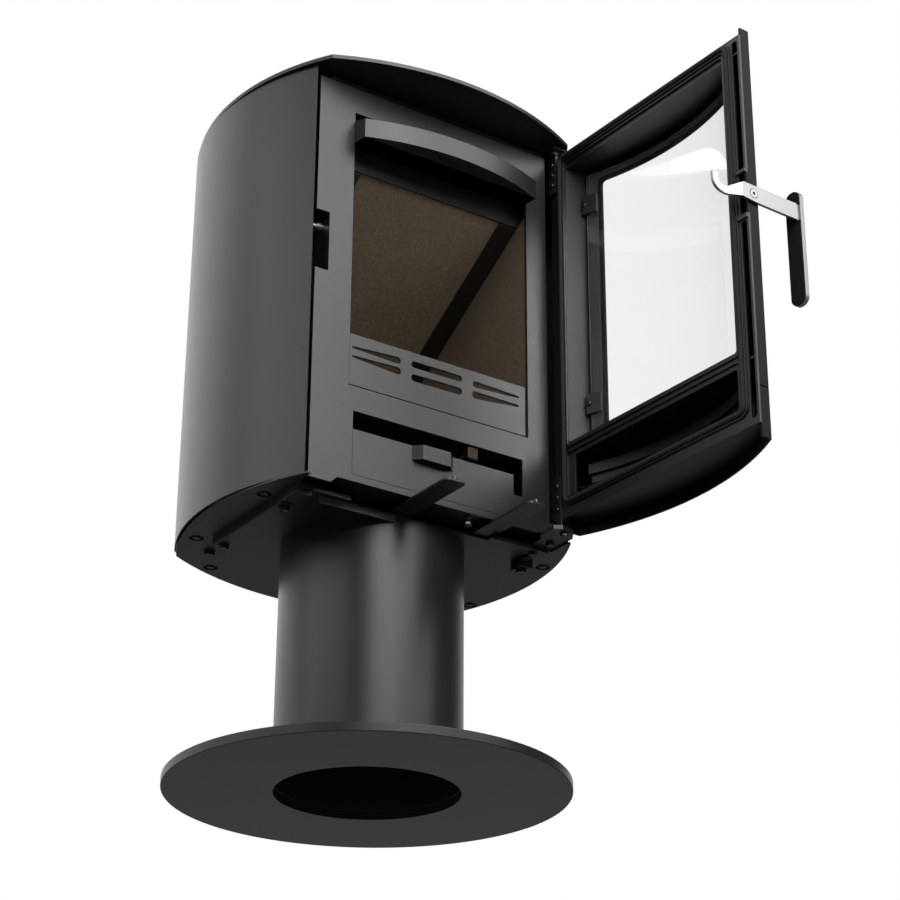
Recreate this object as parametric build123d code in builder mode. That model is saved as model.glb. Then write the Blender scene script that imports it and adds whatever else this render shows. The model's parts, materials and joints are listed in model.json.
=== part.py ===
"""Pedestal wood stove: a bowed steel body on a round foot, with a curved glass door that stands open.

Frame: +Z up, origin at the centre of the underside of the foot, the fire opening faces -Y.
All sizes are in millimetres. The door stands OPEN_ANGLE away from shut.
"""
from build123d import *

import os
from math import cos, hypot, radians, sin, sqrt, tan

os.makedirs("parts", exist_ok=True)

# ---------------------------------------------------------------- driving dimensions
# foot and pedestal
FOOT_R, FOOT_T, FOOT_HOLE_R = 251.0, 11.5, 115.2
TUBE_R, TUBE_WALL = 117.3, 3.0
FLANGE_T, FLANGE_R_IN, FLANGE_PCD = 5.0, 84.0, 196.0
DUCT_R = 60.0                      # air inlet in the bottom plate

# bottom plate: corners, half width and furthest y of its bowed outline
PLATE_Z, PLATE_T = 319.8, 2.5
PLATE_FRONT, PLATE_BACK, PLATE_SIDE, PLATE_BACK_Y = (194.0, -163.0), (197.0, 159.5), 236.5, 216.0
PLATE_EDGE_X, PLATE_EDGE_Y = 189.5, -128.0
INLET_X0, INLET_X1, INLET_Y = -112.0, 100.0, -113.0
ACCESS_HOLES = ((-204.0, -78.5), (-204.5, 91.0), (-141.5, 168.5),
                (211.5, -79.5), (212.0, 88.0), (141.5, 168.5))
ACCESS_R = 9.5
LIP_X0, LIP_X1, LIP_T, LIP_H = -187.0, 184.0, 1.5, 3.2
STRIP_X0, STRIP_X1, STRIP_Y, STRIP_H = -148.0, -38.0, -112.8, 8.8
# x and y of the left bar, of the block under the left front corner and of the short right bar
RAILS = ((-187.5, -168.5, -89.8, 80.0), (-190.0, -166.0, -126.3, -94.0), (168.5, 187.5, -89.8, -68.0))
RAIL_T = 11.0
RAIL_BOLTS, PLATE_BOLTS = ((-177.0, -79.0), (-177.0, 70.0), (177.0, -79.0)), ((-169.0, 122.0), (169.0, 122.0))

BOLT_R, BOLT_HOLE_R, HEAD_R, HEAD_T, NUT_T = 4.0, 4.2, 7.4, 5.3, 5.0

# front plate and its openings
FRONT_Y, FRONT_T = -154.2, 4.0
FRONT_LEFT, FRONT_RIGHT, FRONT_BOTTOM, FRONT_RAISED, FRONT_TOP = -188.7, 167.5, 320.4, 329.0, 884.8
FIRE_X, FIRE_Z0, FIRE_Z1 = 135.5, 455.9, 847.1
ASH_X0, ASH_X1, ASH_Z0, ASH_Z1 = -128.0, 126.0, 337.9, 422.5
NOTCH_X, NOTCH_Z0, NOTCH_Z1 = -169.5, 603.7, 687.0
GUARD_RIGHT, GUARD_TOP, GUARD_T = 131.0, 526.7, 3.0

# firebox, lining and baffle
BOX_X, BOX_BACK, BOX_Z0, BOX_Z1, BOX_T = 169.0, 151.0, 330.0, 893.5, 4.0
FLOOR_Z = 334.0
BRICK_FACE_X, BRICK_T, BRICK_BACK_Y = 137.0, 25.0, 120.0
GRATE_Z, GRATE_T, GRATE_SLOTS, GRATE_PITCH, GRATE_SLOT_W, GRATE_SLOT_L = 440.0, 6.0, 6, 20.0, 9.0, 120.0
BAFFLE_TILT, BAFFLE_FRONT_Y, BAFFLE_FRONT_Z, BAFFLE_T = 31.3, -129.0, 778.3, 25.0
BAFFLE_RAIL_X, BAFFLE_RAIL_T = 110.0, 3.0
HOOD_X, HOOD_Y, HOOD_APEX_Y = 135.2, -178.0, -203.5
HOOD_Z0, HOOD_Z1, HOOD_BACK_Z, HOOD_T = 799.0, 826.0, 838.0, 2.5

# outer casing, top plate and flue
SHEET = 2.0
CASE_Z0, CASE_Z1 = 322.4, 896.5
JACKET_FRONT, JACKET_SIDE, JACKET_BACK = (195.2, -156.0), (240.4, -5.0), (203.0, 153.5)
BACK_CORNER, BACK_APEX_Y = (199.5, 156.5), 215.5
TOP_Z, TOP_T = 903.1, 6.0
TOP_FRONT, TOP_BACK, TOP_SIDE, TOP_FRONT_Y, TOP_BACK_Y = (188.2, -179.8), (201.8, 151.8), 241.0, -225.3, 216.7
BARREL_SIDE_Y = -5.0
FLUE_R, FLUE_WALL, FLUE_Y, FLUE_Z1 = 62.5, 2.0, 40.0, 948.0
REAR_FLUE_Z, REAR_FLUE_R = 770.0, 66.0

# hinge axis, how far the door stands open, and fits
HINGE_X, HINGE_Y, OPEN_ANGLE = 178.0, -162.0, 92.0
PIN_R, PIN_FIT, LUG_R = 4.0, 0.06, 7.3
LOWER_LUG, UPPER_LUG = (331.0, 336.0), (887.5, 891.5)
HINGE_PLATE_T = 5.7
HINGE_BOLTS = ((171.5, -112.0), (171.5, -96.0))
CATCH_Y, CATCH_Z, CATCH_R, CATCH_END = -131.0, 676.0, 3.8, -187.5
CATCH_BOSS_R, CATCH_BOSS_END = 6.2, -177.0

# door, as it lies when shut
SKIN_CORNER_X, SKIN_CORNER_Y, SKIN_SAG, SKIN_T = 188.0, -181.6, 43.4, 3.0
SKIN_HINGE_X = 172.0               # the skin stops here, so that its edge clears the casing
DOOR_Z0, DOOR_Z1, DOOR_SPLIT, SPLIT_GAP = 332.0, 896.0, 397.0, 1.4
RETURN_Z1, RETURN_CUT_Y = 892.8, -178.0      # the return beside the hinge is cut lower, behind this y
DOOR_WINDOW = (-121.0, 126.5, 456.0, 838.5)
FRAME_Y, FRAME_T, FRAME_Z0, FRAME_Z1 = -164.0, 3.0, 349.0, 884.8
FRAME_WINDOW = (-155.0, 159.5, 452.0, 868.0)
FRAME_AIR_BOX = (-155.0, 148.0, 376.0, 430.0)
FRAME_SLOTS = ((-184.5, -174.5, 358.0, 620.0), (-184.5, -174.5, 691.0, 878.0))
LATCH_GAP_X, LATCH_GAP_Z0, LATCH_GAP_Z1 = -174.5, 629.0, 685.0
ROPE_X, ROPE_Z0, ROPE_Z1, ROPE_R = 165.5, 369.0, 877.0, 3.2
GLASS_X, GLASS_Z0, GLASS_Z1, GLASS_T, GASKET_T = 146.0, 441.0, 851.0, 4.0, 2.0
CLIP_X0, CLIP_X1, CLIP_H, CLIP_T, CLIP_Z = 129.0, 150.0, 28.0, 2.5, (494.0, 791.0)
WALL_SKIN_X, DOOR_WALL_T = 151.0, 2.0         # walls beside the glass: where they meet the skin
SHELF_T, SHELVES_Z, FLANGE_TOP = 3.0, (349.0, 436.0, 861.0, 881.8), 871.0

# handle on the shut door's free side
PIVOT_Y, PIVOT_Z, PIVOT_R = -170.8, 654.5, 5.0
LEVER_X, LEVER_T, LEVER_Z0, LEVER_Z1 = -188.35, 4.0, 643.5, 666.0
LEVER_END_Y, LEVER_END_Z0, LEVER_END_Z1 = -152.5, 645.4, 664.6
GRIP_Y, GRIP_T, PAD_T = -246.0, 6.5, 1.6
GRIP_X0, GRIP_X1, GRIP_Z0, GRIP_Z1 = -195.0, -171.0, 529.5, 686.5
HOOK_X, HOOK_T, HOOK_ROOT_Y = -180.0, 4.0, -139.5

# ash pan and levers
PAN_X0, PAN_X1, PAN_Y0, PAN_Y1, PAN_Z0, PAN_Z1, PAN_WALL = -124.0, 108.0, -147.0, 130.0, 338.3, 396.0, 1.5
PAN_FRONT_X1, PAN_FRONT_TOP, PAN_TAB_TOP = 112.0, 398.3, 371.0
PAN_GRIP_X0, PAN_GRIP_X1, PAN_GRIP_Z, PAN_GRIP_REACH, PAN_GRIP_T = -42.0, 19.0, 379.0, 10.3, 1.6
LEVER_BAR_Z, LEVER_BAR_T, LEVER_TIP_Y = 323.2, 3.0, -236.0
PUSH_PIN_DX, PUSH_PIN_Y, PUSH_PIN_R, PUSH_PIN_H = 1.0, -229.4, 4.0, 5.2
PRIMARY_X, PRIMARY_W, SECONDARY_X, SECONDARY_W = -31.0, 30.0, 90.0, 28.0
ROD_X, ROD_Z, ROD_R = 43.0, 407.0, 4.0
RIDDLE_X, RIDDLE_Y, RIDDLE_Z, RIDDLE_T = 78.0, 68.0, 434.0, 5.6

# ---------------------------------------------------------------- worked out from them
PLATE_TOP = PLATE_Z + PLATE_T
FRONT_BACK = FRONT_Y + FRONT_T
WALL_IN, BACK_IN, ROOF_Z = BOX_X - BOX_T, BOX_BACK - BOX_T, BOX_Z1 - BOX_T
FLOOR_TOP, GRATE_TOP, TOP_UNDER = FLOOR_Z + BOX_T, GRATE_Z + GRATE_T, TOP_Z - TOP_T
BAFFLE_SLOPE, BAFFLE_COS = tan(radians(BAFFLE_TILT)), cos(radians(BAFFLE_TILT))
SKIN_R = (SKIN_CORNER_X ** 2 + SKIN_SAG ** 2) / (2 * SKIN_SAG)
SKIN_CENTRE_Y = SKIN_CORNER_Y - SKIN_SAG + SKIN_R
OPEN_COS, OPEN_SIN = cos(radians(OPEN_ANGLE)), sin(radians(OPEN_ANGLE))
FRAME_FRONT = FRAME_Y - FRAME_T
HINGE_PLATE_TOP = PLATE_TOP + HINGE_PLATE_T


# ---------------------------------------------------------------- planes
def front_plane(y):
    """Upright plane facing the front at this y; its x and y are the stove's x and z."""
    return Plane(origin=(0, y, 0), x_dir=(1, 0, 0), z_dir=(0, -1, 0))


def back_plane(y):
    """Upright plane facing the back at this y; its x and y are the stove's -x and z."""
    return Plane(origin=(0, y, 0), x_dir=(-1, 0, 0), z_dir=(0, 1, 0))


def side_plane(x):
    """Upright plane facing +X at this x; its x and y are the stove's y and z."""
    return Plane(origin=(x, 0, 0), x_dir=(0, 1, 0), z_dir=(1, 0, 0))


def turned(dx, dy):
    """Direction in the open door of a direction in the shut door."""
    return (OPEN_COS * dx - OPEN_SIN * dy, OPEN_SIN * dx + OPEN_COS * dy, 0)


def opened(x, y, z=0.0):
    """Place in the open door of a point of the shut door."""
    dx, dy, _ = turned(x - HINGE_X, y - HINGE_Y)
    return (HINGE_X + dx, HINGE_Y + dy, z)


def door_level(z):
    """Level plane in the open door; its x and y are those of the shut door."""
    return Plane(origin=opened(0, 0, z), x_dir=turned(1, 0), z_dir=(0, 0, 1))


def door_face(y):
    """Upright plane across the open door, facing out; its x and y are the shut door's x and z."""
    return Plane(origin=opened(0, y), x_dir=turned(1, 0), z_dir=turned(0, -1))


def door_side(x):
    """Upright plane at the open door's free side, facing out; its x and y are the shut door's -y and z."""
    return Plane(origin=opened(x, 0), x_dir=turned(0, -1), z_dir=turned(-1, 0))


def door_inward(x, depth, z):
    """Plane on the open door's curve, this deep behind its outer face, facing into the stove."""
    y, radius = skin_y(x, depth), SKIN_R - depth
    inward = turned(-x / radius, (SKIN_CENTRE_Y - y) / radius)
    return Plane(origin=opened(x, y, z), x_dir=(0, 0, 1), z_dir=inward)


# ---------------------------------------------------------------- shared shapes
def skin_y(x, depth=0.0):
    """Y of the shut door's curve at x, this deep behind its outer face."""
    return SKIN_CENTRE_Y - sqrt((SKIN_R - depth) ** 2 - x * x)


def arc_centre(start, middle, end):
    """Centre of the circle through three points of a plan."""
    (ax, ay), (bx, by), (cx, cy) = start, middle, end
    twice_area = 2 * (ax * (by - cy) + bx * (cy - ay) + cx * (ay - by))
    a2, b2, c2 = ax * ax + ay * ay, bx * bx + by * by, cx * cx + cy * cy
    x = (a2 * (by - cy) + b2 * (cy - ay) + c2 * (ay - by)) / twice_area
    y = (a2 * (cx - bx) + b2 * (ax - cx) + c2 * (bx - ax)) / twice_area
    return x, y


def barrel(z, front, back, side_x, front_y, back_y):
    """Plan outline with bowed sides and back; a front_y of None leaves the front straight."""
    (fx, fy), (bx, by) = front, back
    with BuildSketch(Plane.XY.offset(z)) as outline:
        with BuildLine():
            ThreePointArc((fx, fy), (side_x, BARREL_SIDE_Y), (bx, by))
            ThreePointArc((bx, by), (0, back_y), (-bx, by))
            ThreePointArc((-bx, by), (-side_x, BARREL_SIDE_Y), (-fx, fy))
            if front_y is None:
                Line((-fx, fy), (fx, fy))
            else:
                ThreePointArc((-fx, fy), (0, front_y), (fx, fy))
        make_face()
    return outline.sketch


def bowed_strip(plane, start, middle, end, thickness):
    """Plan section of a bowed sheet: its outer line through three points, its thickness inwards."""
    cx, cy = arc_centre(start, middle, end)

    def inner(point):
        """The same point on the inner face."""
        dx, dy = point[0] - cx, point[1] - cy
        shrink = 1 - thickness / hypot(dx, dy)
        return cx + dx * shrink, cy + dy * shrink

    with BuildSketch(plane) as strip:
        with BuildLine():
            ThreePointArc(start, middle, end)
            Line(end, inner(end))
            ThreePointArc(inner(end), inner(middle), inner(start))
            Line(inner(start), start)
        make_face()
    return strip.sketch


def door_strip(z, x0, x1, depth, thickness):
    """Plan section of a sheet bent to the door's curve between x0 and x1, this deep behind it."""
    points = [(x, skin_y(x, depth)) for x in (x0, (x0 + x1) / 2, x1)]
    return bowed_strip(door_level(z), *points, thickness)


def rectangle(plane, x0, x1, y0, y1, radius=0.0):
    """Rectangle between two corners of a plane, with round corners where radius is given."""
    with BuildSketch(plane) as area:
        with Locations(((x0 + x1) / 2, (y0 + y1) / 2)):
            if radius:
                RectangleRounded(x1 - x0, y1 - y0, radius)
            else:
                Rectangle(x1 - x0, y1 - y0)
    return area.sketch


def slab(x0, x1, y0, y1, z0, z1, mode=Mode.ADD):
    """Square-edged block between two corners, in the part being built."""
    with Locations(((x0 + x1) / 2, (y0 + y1) / 2, (z0 + z1) / 2)):
        Box(x1 - x0, y1 - y0, z1 - z0, mode=mode)


def polygon(plane, *points):
    """Straight-edged outline on a plane."""
    with BuildSketch(plane) as area:
        with BuildLine():
            Polyline(*points, close=True)
        make_face()
    return area.sketch


def discs(z, radius, places):
    """Equal discs at places of a level plane."""
    with BuildSketch(Plane.XY.offset(z)) as group:
        with Locations(*places):
            Circle(radius)
    return group.sketch


def hexagons(z, radius, places):
    """Equal hexagons at places of a level plane."""
    with BuildSketch(Plane.XY.offset(z)) as group:
        with Locations(*places):
            RegularPolygon(radius, 6)
    return group.sketch


FLANGE_BOLT_PLACES = [(sx * FLANGE_PCD / 2 * sqrt(0.5), sy * FLANGE_PCD / 2 * sqrt(0.5))
                      for sx in (-1, 1) for sy in (-1, 1)]

# ---------------------------------------------------------------- foot and pedestal
with BuildPart() as foot_disc:
    with BuildSketch():
        Circle(FOOT_R)
        Circle(FOOT_HOLE_R, mode=Mode.SUBTRACT)
    extrude(amount=FOOT_T)
    fillet(foot_disc.edges().filter_by(GeomType.CIRCLE).filter_by(lambda edge: edge.radius > FOOT_R - 1), 0.8)

# the pedestal tube with the flange welded inside its top
FLANGE_Z = PLATE_Z - FLANGE_T
with BuildPart() as pedestal_tube:
    with BuildSketch(Plane.XY.offset(FOOT_T)):
        Circle(TUBE_R)
        Circle(TUBE_R - TUBE_WALL, mode=Mode.SUBTRACT)
    extrude(amount=PLATE_Z - FOOT_T)
    with BuildSketch(Plane.XY.offset(FLANGE_Z)):
        Circle(TUBE_R - TUBE_WALL / 2)
        Circle(FLANGE_R_IN, mode=Mode.SUBTRACT)
        add(discs(0, 4.5, FLANGE_BOLT_PLACES), mode=Mode.SUBTRACT)
    extrude(amount=FLANGE_T)

# ---------------------------------------------------------------- bottom plate and what hangs under it
with BuildPart() as bottom_plate:
    extrude(barrel(PLATE_Z, PLATE_FRONT, PLATE_BACK, PLATE_SIDE, None, PLATE_BACK_Y), amount=PLATE_T)
    with BuildSketch(Plane.XY.offset(PLATE_Z)):
        add(rectangle(Plane.XY, -PLATE_EDGE_X, PLATE_EDGE_X, PLATE_EDGE_Y - 60, PLATE_EDGE_Y))
        add(rectangle(Plane.XY, INLET_X0, INLET_X1, INLET_Y - 40, INLET_Y))
        Circle(DUCT_R)
        add(discs(0, ACCESS_R, ACCESS_HOLES))
        add(discs(0, 3.2, HINGE_BOLTS))
        add(discs(0, BOLT_HOLE_R, RAIL_BOLTS + PLATE_BOLTS))
        add(discs(0, 4.5, FLANGE_BOLT_PLACES))
    extrude(amount=PLATE_T, mode=Mode.SUBTRACT)
    # lips turned down from the front edge, beside the air inlet
    for x0, x1 in ((LIP_X0, INLET_X0), (INLET_X1, LIP_X1)):
        slab(x0, x1, PLATE_EDGE_Y, PLATE_EDGE_Y + LIP_T, PLATE_Z - LIP_H, PLATE_Z)

# upright strip behind the air inlet, beside the pedestal
with BuildPart() as inlet_strip:
    slab(STRIP_X0, STRIP_X1, STRIP_Y, STRIP_Y + LIP_T, PLATE_Z - STRIP_H, PLATE_Z)

# square bars, with the holes of their bolts
RAIL_Z = PLATE_Z - RAIL_T
with BuildPart() as bottom_rails:
    for x0, x1, y0, y1 in RAILS:
        slab(x0, x1, y0, y1, RAIL_Z, PLATE_Z)
    chamfer(bottom_rails.faces().group_by(Axis.Z)[0].edges(), 1.0)
    extrude(discs(RAIL_Z, BOLT_HOLE_R, RAIL_BOLTS), amount=RAIL_T, mode=Mode.SUBTRACT)

# hexagon bolts seen from below: pedestal flange, bars, plate, lower hinge plate
with BuildPart() as underside_bolts:
    extrude(hexagons(FLANGE_Z - HEAD_T, HEAD_R, FLANGE_BOLT_PLACES), amount=HEAD_T)
    extrude(discs(FLANGE_Z, BOLT_R, FLANGE_BOLT_PLACES), amount=FLANGE_T + PLATE_T)
    for under, places in ((RAIL_Z, RAIL_BOLTS), (PLATE_Z, PLATE_BOLTS)):
        extrude(hexagons(under - HEAD_T, HEAD_R, places), amount=HEAD_T)
        extrude(discs(under, BOLT_R, places), amount=PLATE_TOP - under)
        extrude(hexagons(PLATE_TOP, HEAD_R, places), amount=NUT_T)
    extrude(hexagons(PLATE_Z - 4.2, 5.8, HINGE_BOLTS), amount=4.2)
    extrude(discs(PLATE_Z, 3.0, HINGE_BOLTS), amount=PLATE_T + HINGE_PLATE_T)

# ---------------------------------------------------------------- firebox
with BuildPart() as firebox_left:
    slab(-BOX_X, -WALL_IN, FRONT_BACK, BACK_IN, BOX_Z0, ROOF_Z)

with BuildPart() as firebox_right:
    slab(WALL_IN, BOX_X, FRONT_BACK, BACK_IN, BOX_Z0, ROOF_Z)

with BuildPart() as firebox_back:
    slab(-BOX_X, BOX_X, BACK_IN, BOX_BACK, BOX_Z0, ROOF_Z)

# floor under the ash pan, on four square feet
FEET = ((-150.0, -90.0), (-150.0, 132.0), (150.0, 132.0), (156.0, -58.0))
with BuildPart() as firebox_floor:
    slab(-WALL_IN, WALL_IN, FRONT_BACK, BACK_IN, FLOOR_Z, FLOOR_TOP)
    for x, y in FEET:
        slab(x - 9, x + 9, y - 9, y + 9, PLATE_TOP, FLOOR_Z)
    for x in (PRIMARY_X, SECONDARY_X):
        slab(x - 7, x + 7, -10, 50, FLOOR_Z, FLOOR_TOP, Mode.SUBTRACT)

# roof with the flue hole, and the round spacers that carry the top plate
TOP_SPACERS = ((-145.0, -120.0), (135.0, -125.0), (145.0, 130.0), (-145.0, 130.0))
with BuildPart() as firebox_roof:
    slab(-BOX_X, BOX_X, FRONT_BACK, BOX_BACK, ROOF_Z, BOX_Z1)
    extrude(discs(BOX_Z1, 9.0, TOP_SPACERS), amount=TOP_UNDER - BOX_Z1)
    extrude(discs(ROOF_Z, FLUE_R, [(0, FLUE_Y)]), amount=BOX_T, mode=Mode.SUBTRACT)

# ---------------------------------------------------------------- front plate
FRONT_SILL_X, FRONT_SILL_Z = 188.0, 345.0
with BuildPart() as front_plate:
    with BuildSketch(front_plane(FRONT_BACK)):
        add(polygon(Plane.XY, (FRONT_LEFT, FRONT_BOTTOM), (-157.0, FRONT_BOTTOM), (-148.0, FRONT_RAISED),
                    (FRONT_SILL_X, FRONT_RAISED), (FRONT_SILL_X, FRONT_SILL_Z), (FRONT_RIGHT, FRONT_SILL_Z),
                    (FRONT_RIGHT, FRONT_TOP), (FRONT_LEFT, FRONT_TOP)))
        add(rectangle(Plane.XY, -FIRE_X, FIRE_X, FIRE_Z0, FIRE_Z1), mode=Mode.SUBTRACT)
        add(rectangle(Plane.XY, ASH_X0, ASH_X1, ASH_Z0, ASH_Z1), mode=Mode.SUBTRACT)
        add(rectangle(Plane.XY, FRONT_LEFT - 20, NOTCH_X, NOTCH_Z0, NOTCH_Z1, 2.0), mode=Mode.SUBTRACT)
    extrude(amount=FRONT_T)

# slotted guard that keeps the logs in, with two feet that stand on the grate
GUARD_SLOTS = (                    # per slot and end: x, z, radius
    ((-130.7, 508.4, 1.3), (-65.0, 509.2, 4.6)), ((-130.7, 495.8, 1.3), (-64.8, 494.6, 5.0)),
    ((-40.3, 510.4, 4.4), (28.2, 510.6, 4.2)), ((-39.8, 491.8, 4.8), (27.8, 492.6, 4.8)),
    ((53.0, 508.9, 4.3), (119.5, 509.7, 1.5)), ((53.0, 493.8, 5.0), (119.3, 497.0, 1.5)))
GUARD_BACK, GUARD_Z0 = FRONT_Y + GUARD_T, FIRE_Z0 + 1.2
with BuildPart() as log_guard:
    extrude(rectangle(front_plane(GUARD_BACK), 0.2 - FIRE_X, GUARD_RIGHT, GUARD_Z0, GUARD_TOP),
            amount=GUARD_T)
    for ends in GUARD_SLOTS:
        with BuildSketch(front_plane(GUARD_BACK)):
            for x, z, radius in ends:
                with Locations((x, z)):
                    Circle(radius)
            make_hull()
        extrude(amount=GUARD_T, mode=Mode.SUBTRACT)
    for x in (-110.0, 90.0):
        slab(x, x + 18, GUARD_BACK, FRONT_BACK + 12, GRATE_TOP + 14, GRATE_TOP + 17)
        slab(x, x + 18, FRONT_BACK + 9, FRONT_BACK + 12, GRATE_TOP, GRATE_TOP + 14)

# ---------------------------------------------------------------- air wash hood above the fire
HOOD_TAB_Y, HOOD_TAB_X, HOOD_FOOT_Z = FRONT_BACK + 2.5, 152.0, 803.0
HOOD_ARC = ((-HOOD_X, HOOD_Y), (0, HOOD_APEX_Y), (HOOD_X, HOOD_Y))
with BuildPart() as air_wash_hood:
    extrude(bowed_strip(Plane.XY.offset(HOOD_Z0), *HOOD_ARC, HOOD_T), amount=HOOD_Z1 - HOOD_Z0)
    for z in (HOOD_Z0, HOOD_Z1 - HOOD_T):
        with BuildSketch(Plane.XY.offset(z)):
            with BuildLine():
                ThreePointArc(*HOOD_ARC)
                Line(HOOD_ARC[2], HOOD_ARC[0])
            make_face()
        extrude(amount=HOOD_T)
    for x in (-HOOD_X, HOOD_X - HOOD_T):
        extrude(polygon(side_plane(x), (HOOD_TAB_Y, HOOD_BACK_Z), (HOOD_TAB_Y, HOOD_FOOT_Z),
                        (HOOD_Y, HOOD_Z0), (HOOD_Y, HOOD_Z1)), amount=HOOD_T)
    extrude(polygon(side_plane(-HOOD_X), (HOOD_TAB_Y, HOOD_BACK_Z), (HOOD_TAB_Y, HOOD_BACK_Z - HOOD_T),
                    (HOOD_Y, HOOD_Z1 - HOOD_T), (HOOD_Y, HOOD_Z1)), amount=2 * HOOD_X)
    # ears behind the front plate that the hood is screwed by
    slab(-HOOD_TAB_X, HOOD_T - HOOD_X, FRONT_BACK, HOOD_TAB_Y, HOOD_FOOT_Z, HOOD_BACK_Z - HOOD_T)
    slab(HOOD_X - HOOD_T, HOOD_TAB_X, FRONT_BACK, HOOD_TAB_Y, HOOD_FOOT_Z, HOOD_BACK_Z - HOOD_T)


# ---------------------------------------------------------------- lining, baffle, grate
def baffle_z(y):
    """Height of the baffle's underside at y: it rises towards the front."""
    return BAFFLE_FRONT_Z - BAFFLE_SLOPE * (y - BAFFLE_FRONT_Y)


def sloping_top(x, y0, y1, z0, drop):
    """Side view of a brick whose top lies this far below the baffle's underside."""
    return polygon(side_plane(x), (y0, z0), (y1, z0), (y1, baffle_z(y1) - drop), (y0, baffle_z(y0) - drop))


def sloping_slab(x, y0, y1, above, below):
    """Side view of a plate that lies along the baffle's underside, from below it to above it."""
    return polygon(side_plane(x), (y0, baffle_z(y0) - below), (y1, baffle_z(y1) - below),
                   (y1, baffle_z(y1) + above), (y0, baffle_z(y0) + above))


RAIL_DROP = BAFFLE_RAIL_T / BAFFLE_COS
BRICK_DROP = RAIL_DROP + 0.2
BRICK_FRONT_Y = FRONT_BACK + 0.7
LINING_X, LINING_BACK = WALL_IN - 0.5, BACK_IN - 0.5

with BuildPart() as brick_left:
    extrude(sloping_top(-BRICK_FACE_X - BRICK_T, BRICK_FRONT_Y, BRICK_BACK_Y, GRATE_TOP, BRICK_DROP),
            amount=BRICK_T)

with BuildPart() as brick_right:
    extrude(sloping_top(BRICK_FACE_X, BRICK_FRONT_Y, BRICK_BACK_Y, GRATE_TOP, BRICK_DROP), amount=BRICK_T)

with BuildPart() as brick_back:
    extrude(sloping_top(-LINING_X, BRICK_BACK_Y, LINING_BACK, GRATE_TOP, BRICK_DROP), amount=2 * LINING_X)

with BuildPart() as baffle_plate:
    extrude(sloping_slab(-LINING_X, BAFFLE_FRONT_Y, LINING_BACK, BAFFLE_T / BAFFLE_COS, 0.0),
            amount=2 * LINING_X)

# steel ledges that carry the baffle, and the strip that covers its front edge
BAFFLE_EDGE_Y = BAFFLE_FRONT_Y - 3.0
with BuildPart() as baffle_rails:
    for x in (-WALL_IN, BAFFLE_RAIL_X):
        extrude(sloping_slab(x, BAFFLE_FRONT_Y, LINING_BACK, 0.0, RAIL_DROP), amount=WALL_IN - BAFFLE_RAIL_X)
    slab(-WALL_IN, WALL_IN, BAFFLE_EDGE_Y, BAFFLE_FRONT_Y, baffle_z(BAFFLE_EDGE_Y) - RAIL_DROP,
         BAFFLE_FRONT_Z + 31.0)


def grate_openings(z):
    """Rows of slots shared by the fixed and the riddling grate."""
    with BuildSketch(Plane.XY.offset(z)) as slots:
        with GridLocations(0, GRATE_PITCH, 1, GRATE_SLOTS):
            SlotOverall(GRATE_SLOT_L, GRATE_SLOT_W)
    return slots.sketch


# fixed grate, with the two hooked guides that carry the riddling grate
GUIDE_GAP = 0.4
with BuildPart() as grate_plate:
    slab(-WALL_IN, WALL_IN, FRONT_BACK, BACK_IN, GRATE_Z, GRATE_TOP)
    extrude(grate_openings(GRATE_Z), amount=GRATE_T, mode=Mode.SUBTRACT)
    for side in (-1, 1):
        inner, outer = side * (RIDDLE_X + GUIDE_GAP), side * (RIDDLE_X + 8.0)
        hook, hook_top = side * (RIDDLE_X - 6.0), RIDDLE_Z - GUIDE_GAP
        extrude(polygon(front_plane(80.0), (inner, GRATE_Z), (outer, GRATE_Z), (outer, hook_top - 3.0),
                        (hook, hook_top - 3.0), (hook, hook_top), (inner, hook_top)), amount=180.0)

LINK_Y0, LINK_Y1 = -RIDDLE_Y - 4.0, -RIDDLE_Y
with BuildPart() as riddling_grate:
    slab(-RIDDLE_X, RIDDLE_X, -RIDDLE_Y, RIDDLE_Y, RIDDLE_Z, RIDDLE_Z + RIDDLE_T)
    extrude(grate_openings(RIDDLE_Z), amount=RIDDLE_T, mode=Mode.SUBTRACT)
    slab(ROD_X - 5, ROD_X + 5, LINK_Y0, LINK_Y1, ROD_Z - 6, RIDDLE_Z + RIDDLE_T)

ROD_END_Y, KNOB_PLACE, KNOB_W, KNOB_H, KNOB_L = FRONT_BACK, (46.3, 408.8), 16.0, 17.0, 9.0
with BuildPart() as riddling_rod:
    with BuildSketch(front_plane(LINK_Y0)):
        with Locations((ROD_X, ROD_Z)):
            Circle(ROD_R)
    extrude(amount=LINK_Y0 - ROD_END_Y)

with BuildPart() as riddling_knob:
    with BuildSketch(front_plane(ROD_END_Y)):
        with Locations(KNOB_PLACE):
            RectangleRounded(KNOB_W, KNOB_H, 3.0)
    extrude(amount=KNOB_L)
    fillet(riddling_knob.faces().sort_by(Axis.Y)[0].edges(), 2.0)

# ---------------------------------------------------------------- ash pan
with BuildPart() as ash_pan:
    slab(PAN_X0, PAN_X1, PAN_Y0, PAN_Y1, PAN_Z0, PAN_Z1)
    slab(PAN_X0 + PAN_WALL, PAN_X1 - PAN_WALL, PAN_Y0 + PAN_WALL, PAN_Y1 - PAN_WALL,
         PAN_Z0 + PAN_WALL, PAN_Z1, Mode.SUBTRACT)

# cover plate of the pan, with two blocks behind it
PAN_GAP, PAN_FRONT_T = 0.35, 3.0
with BuildPart() as ash_pan_front:
    x0, x1 = ASH_X0 + PAN_GAP, ASH_X1 - PAN_GAP
    extrude(polygon(front_plane(FRONT_Y + PAN_FRONT_T), (x0, PAN_Z0), (x1, PAN_Z0), (x1, PAN_TAB_TOP),
                    (PAN_FRONT_X1, PAN_TAB_TOP), (PAN_FRONT_X1, PAN_FRONT_TOP), (x0, PAN_FRONT_TOP)),
            amount=PAN_FRONT_T)
    for x in (-105.0, 90.0):
        slab(x, x + 12, FRONT_Y + PAN_FRONT_T, PAN_Y0, 345.0, 385.0)

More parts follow.
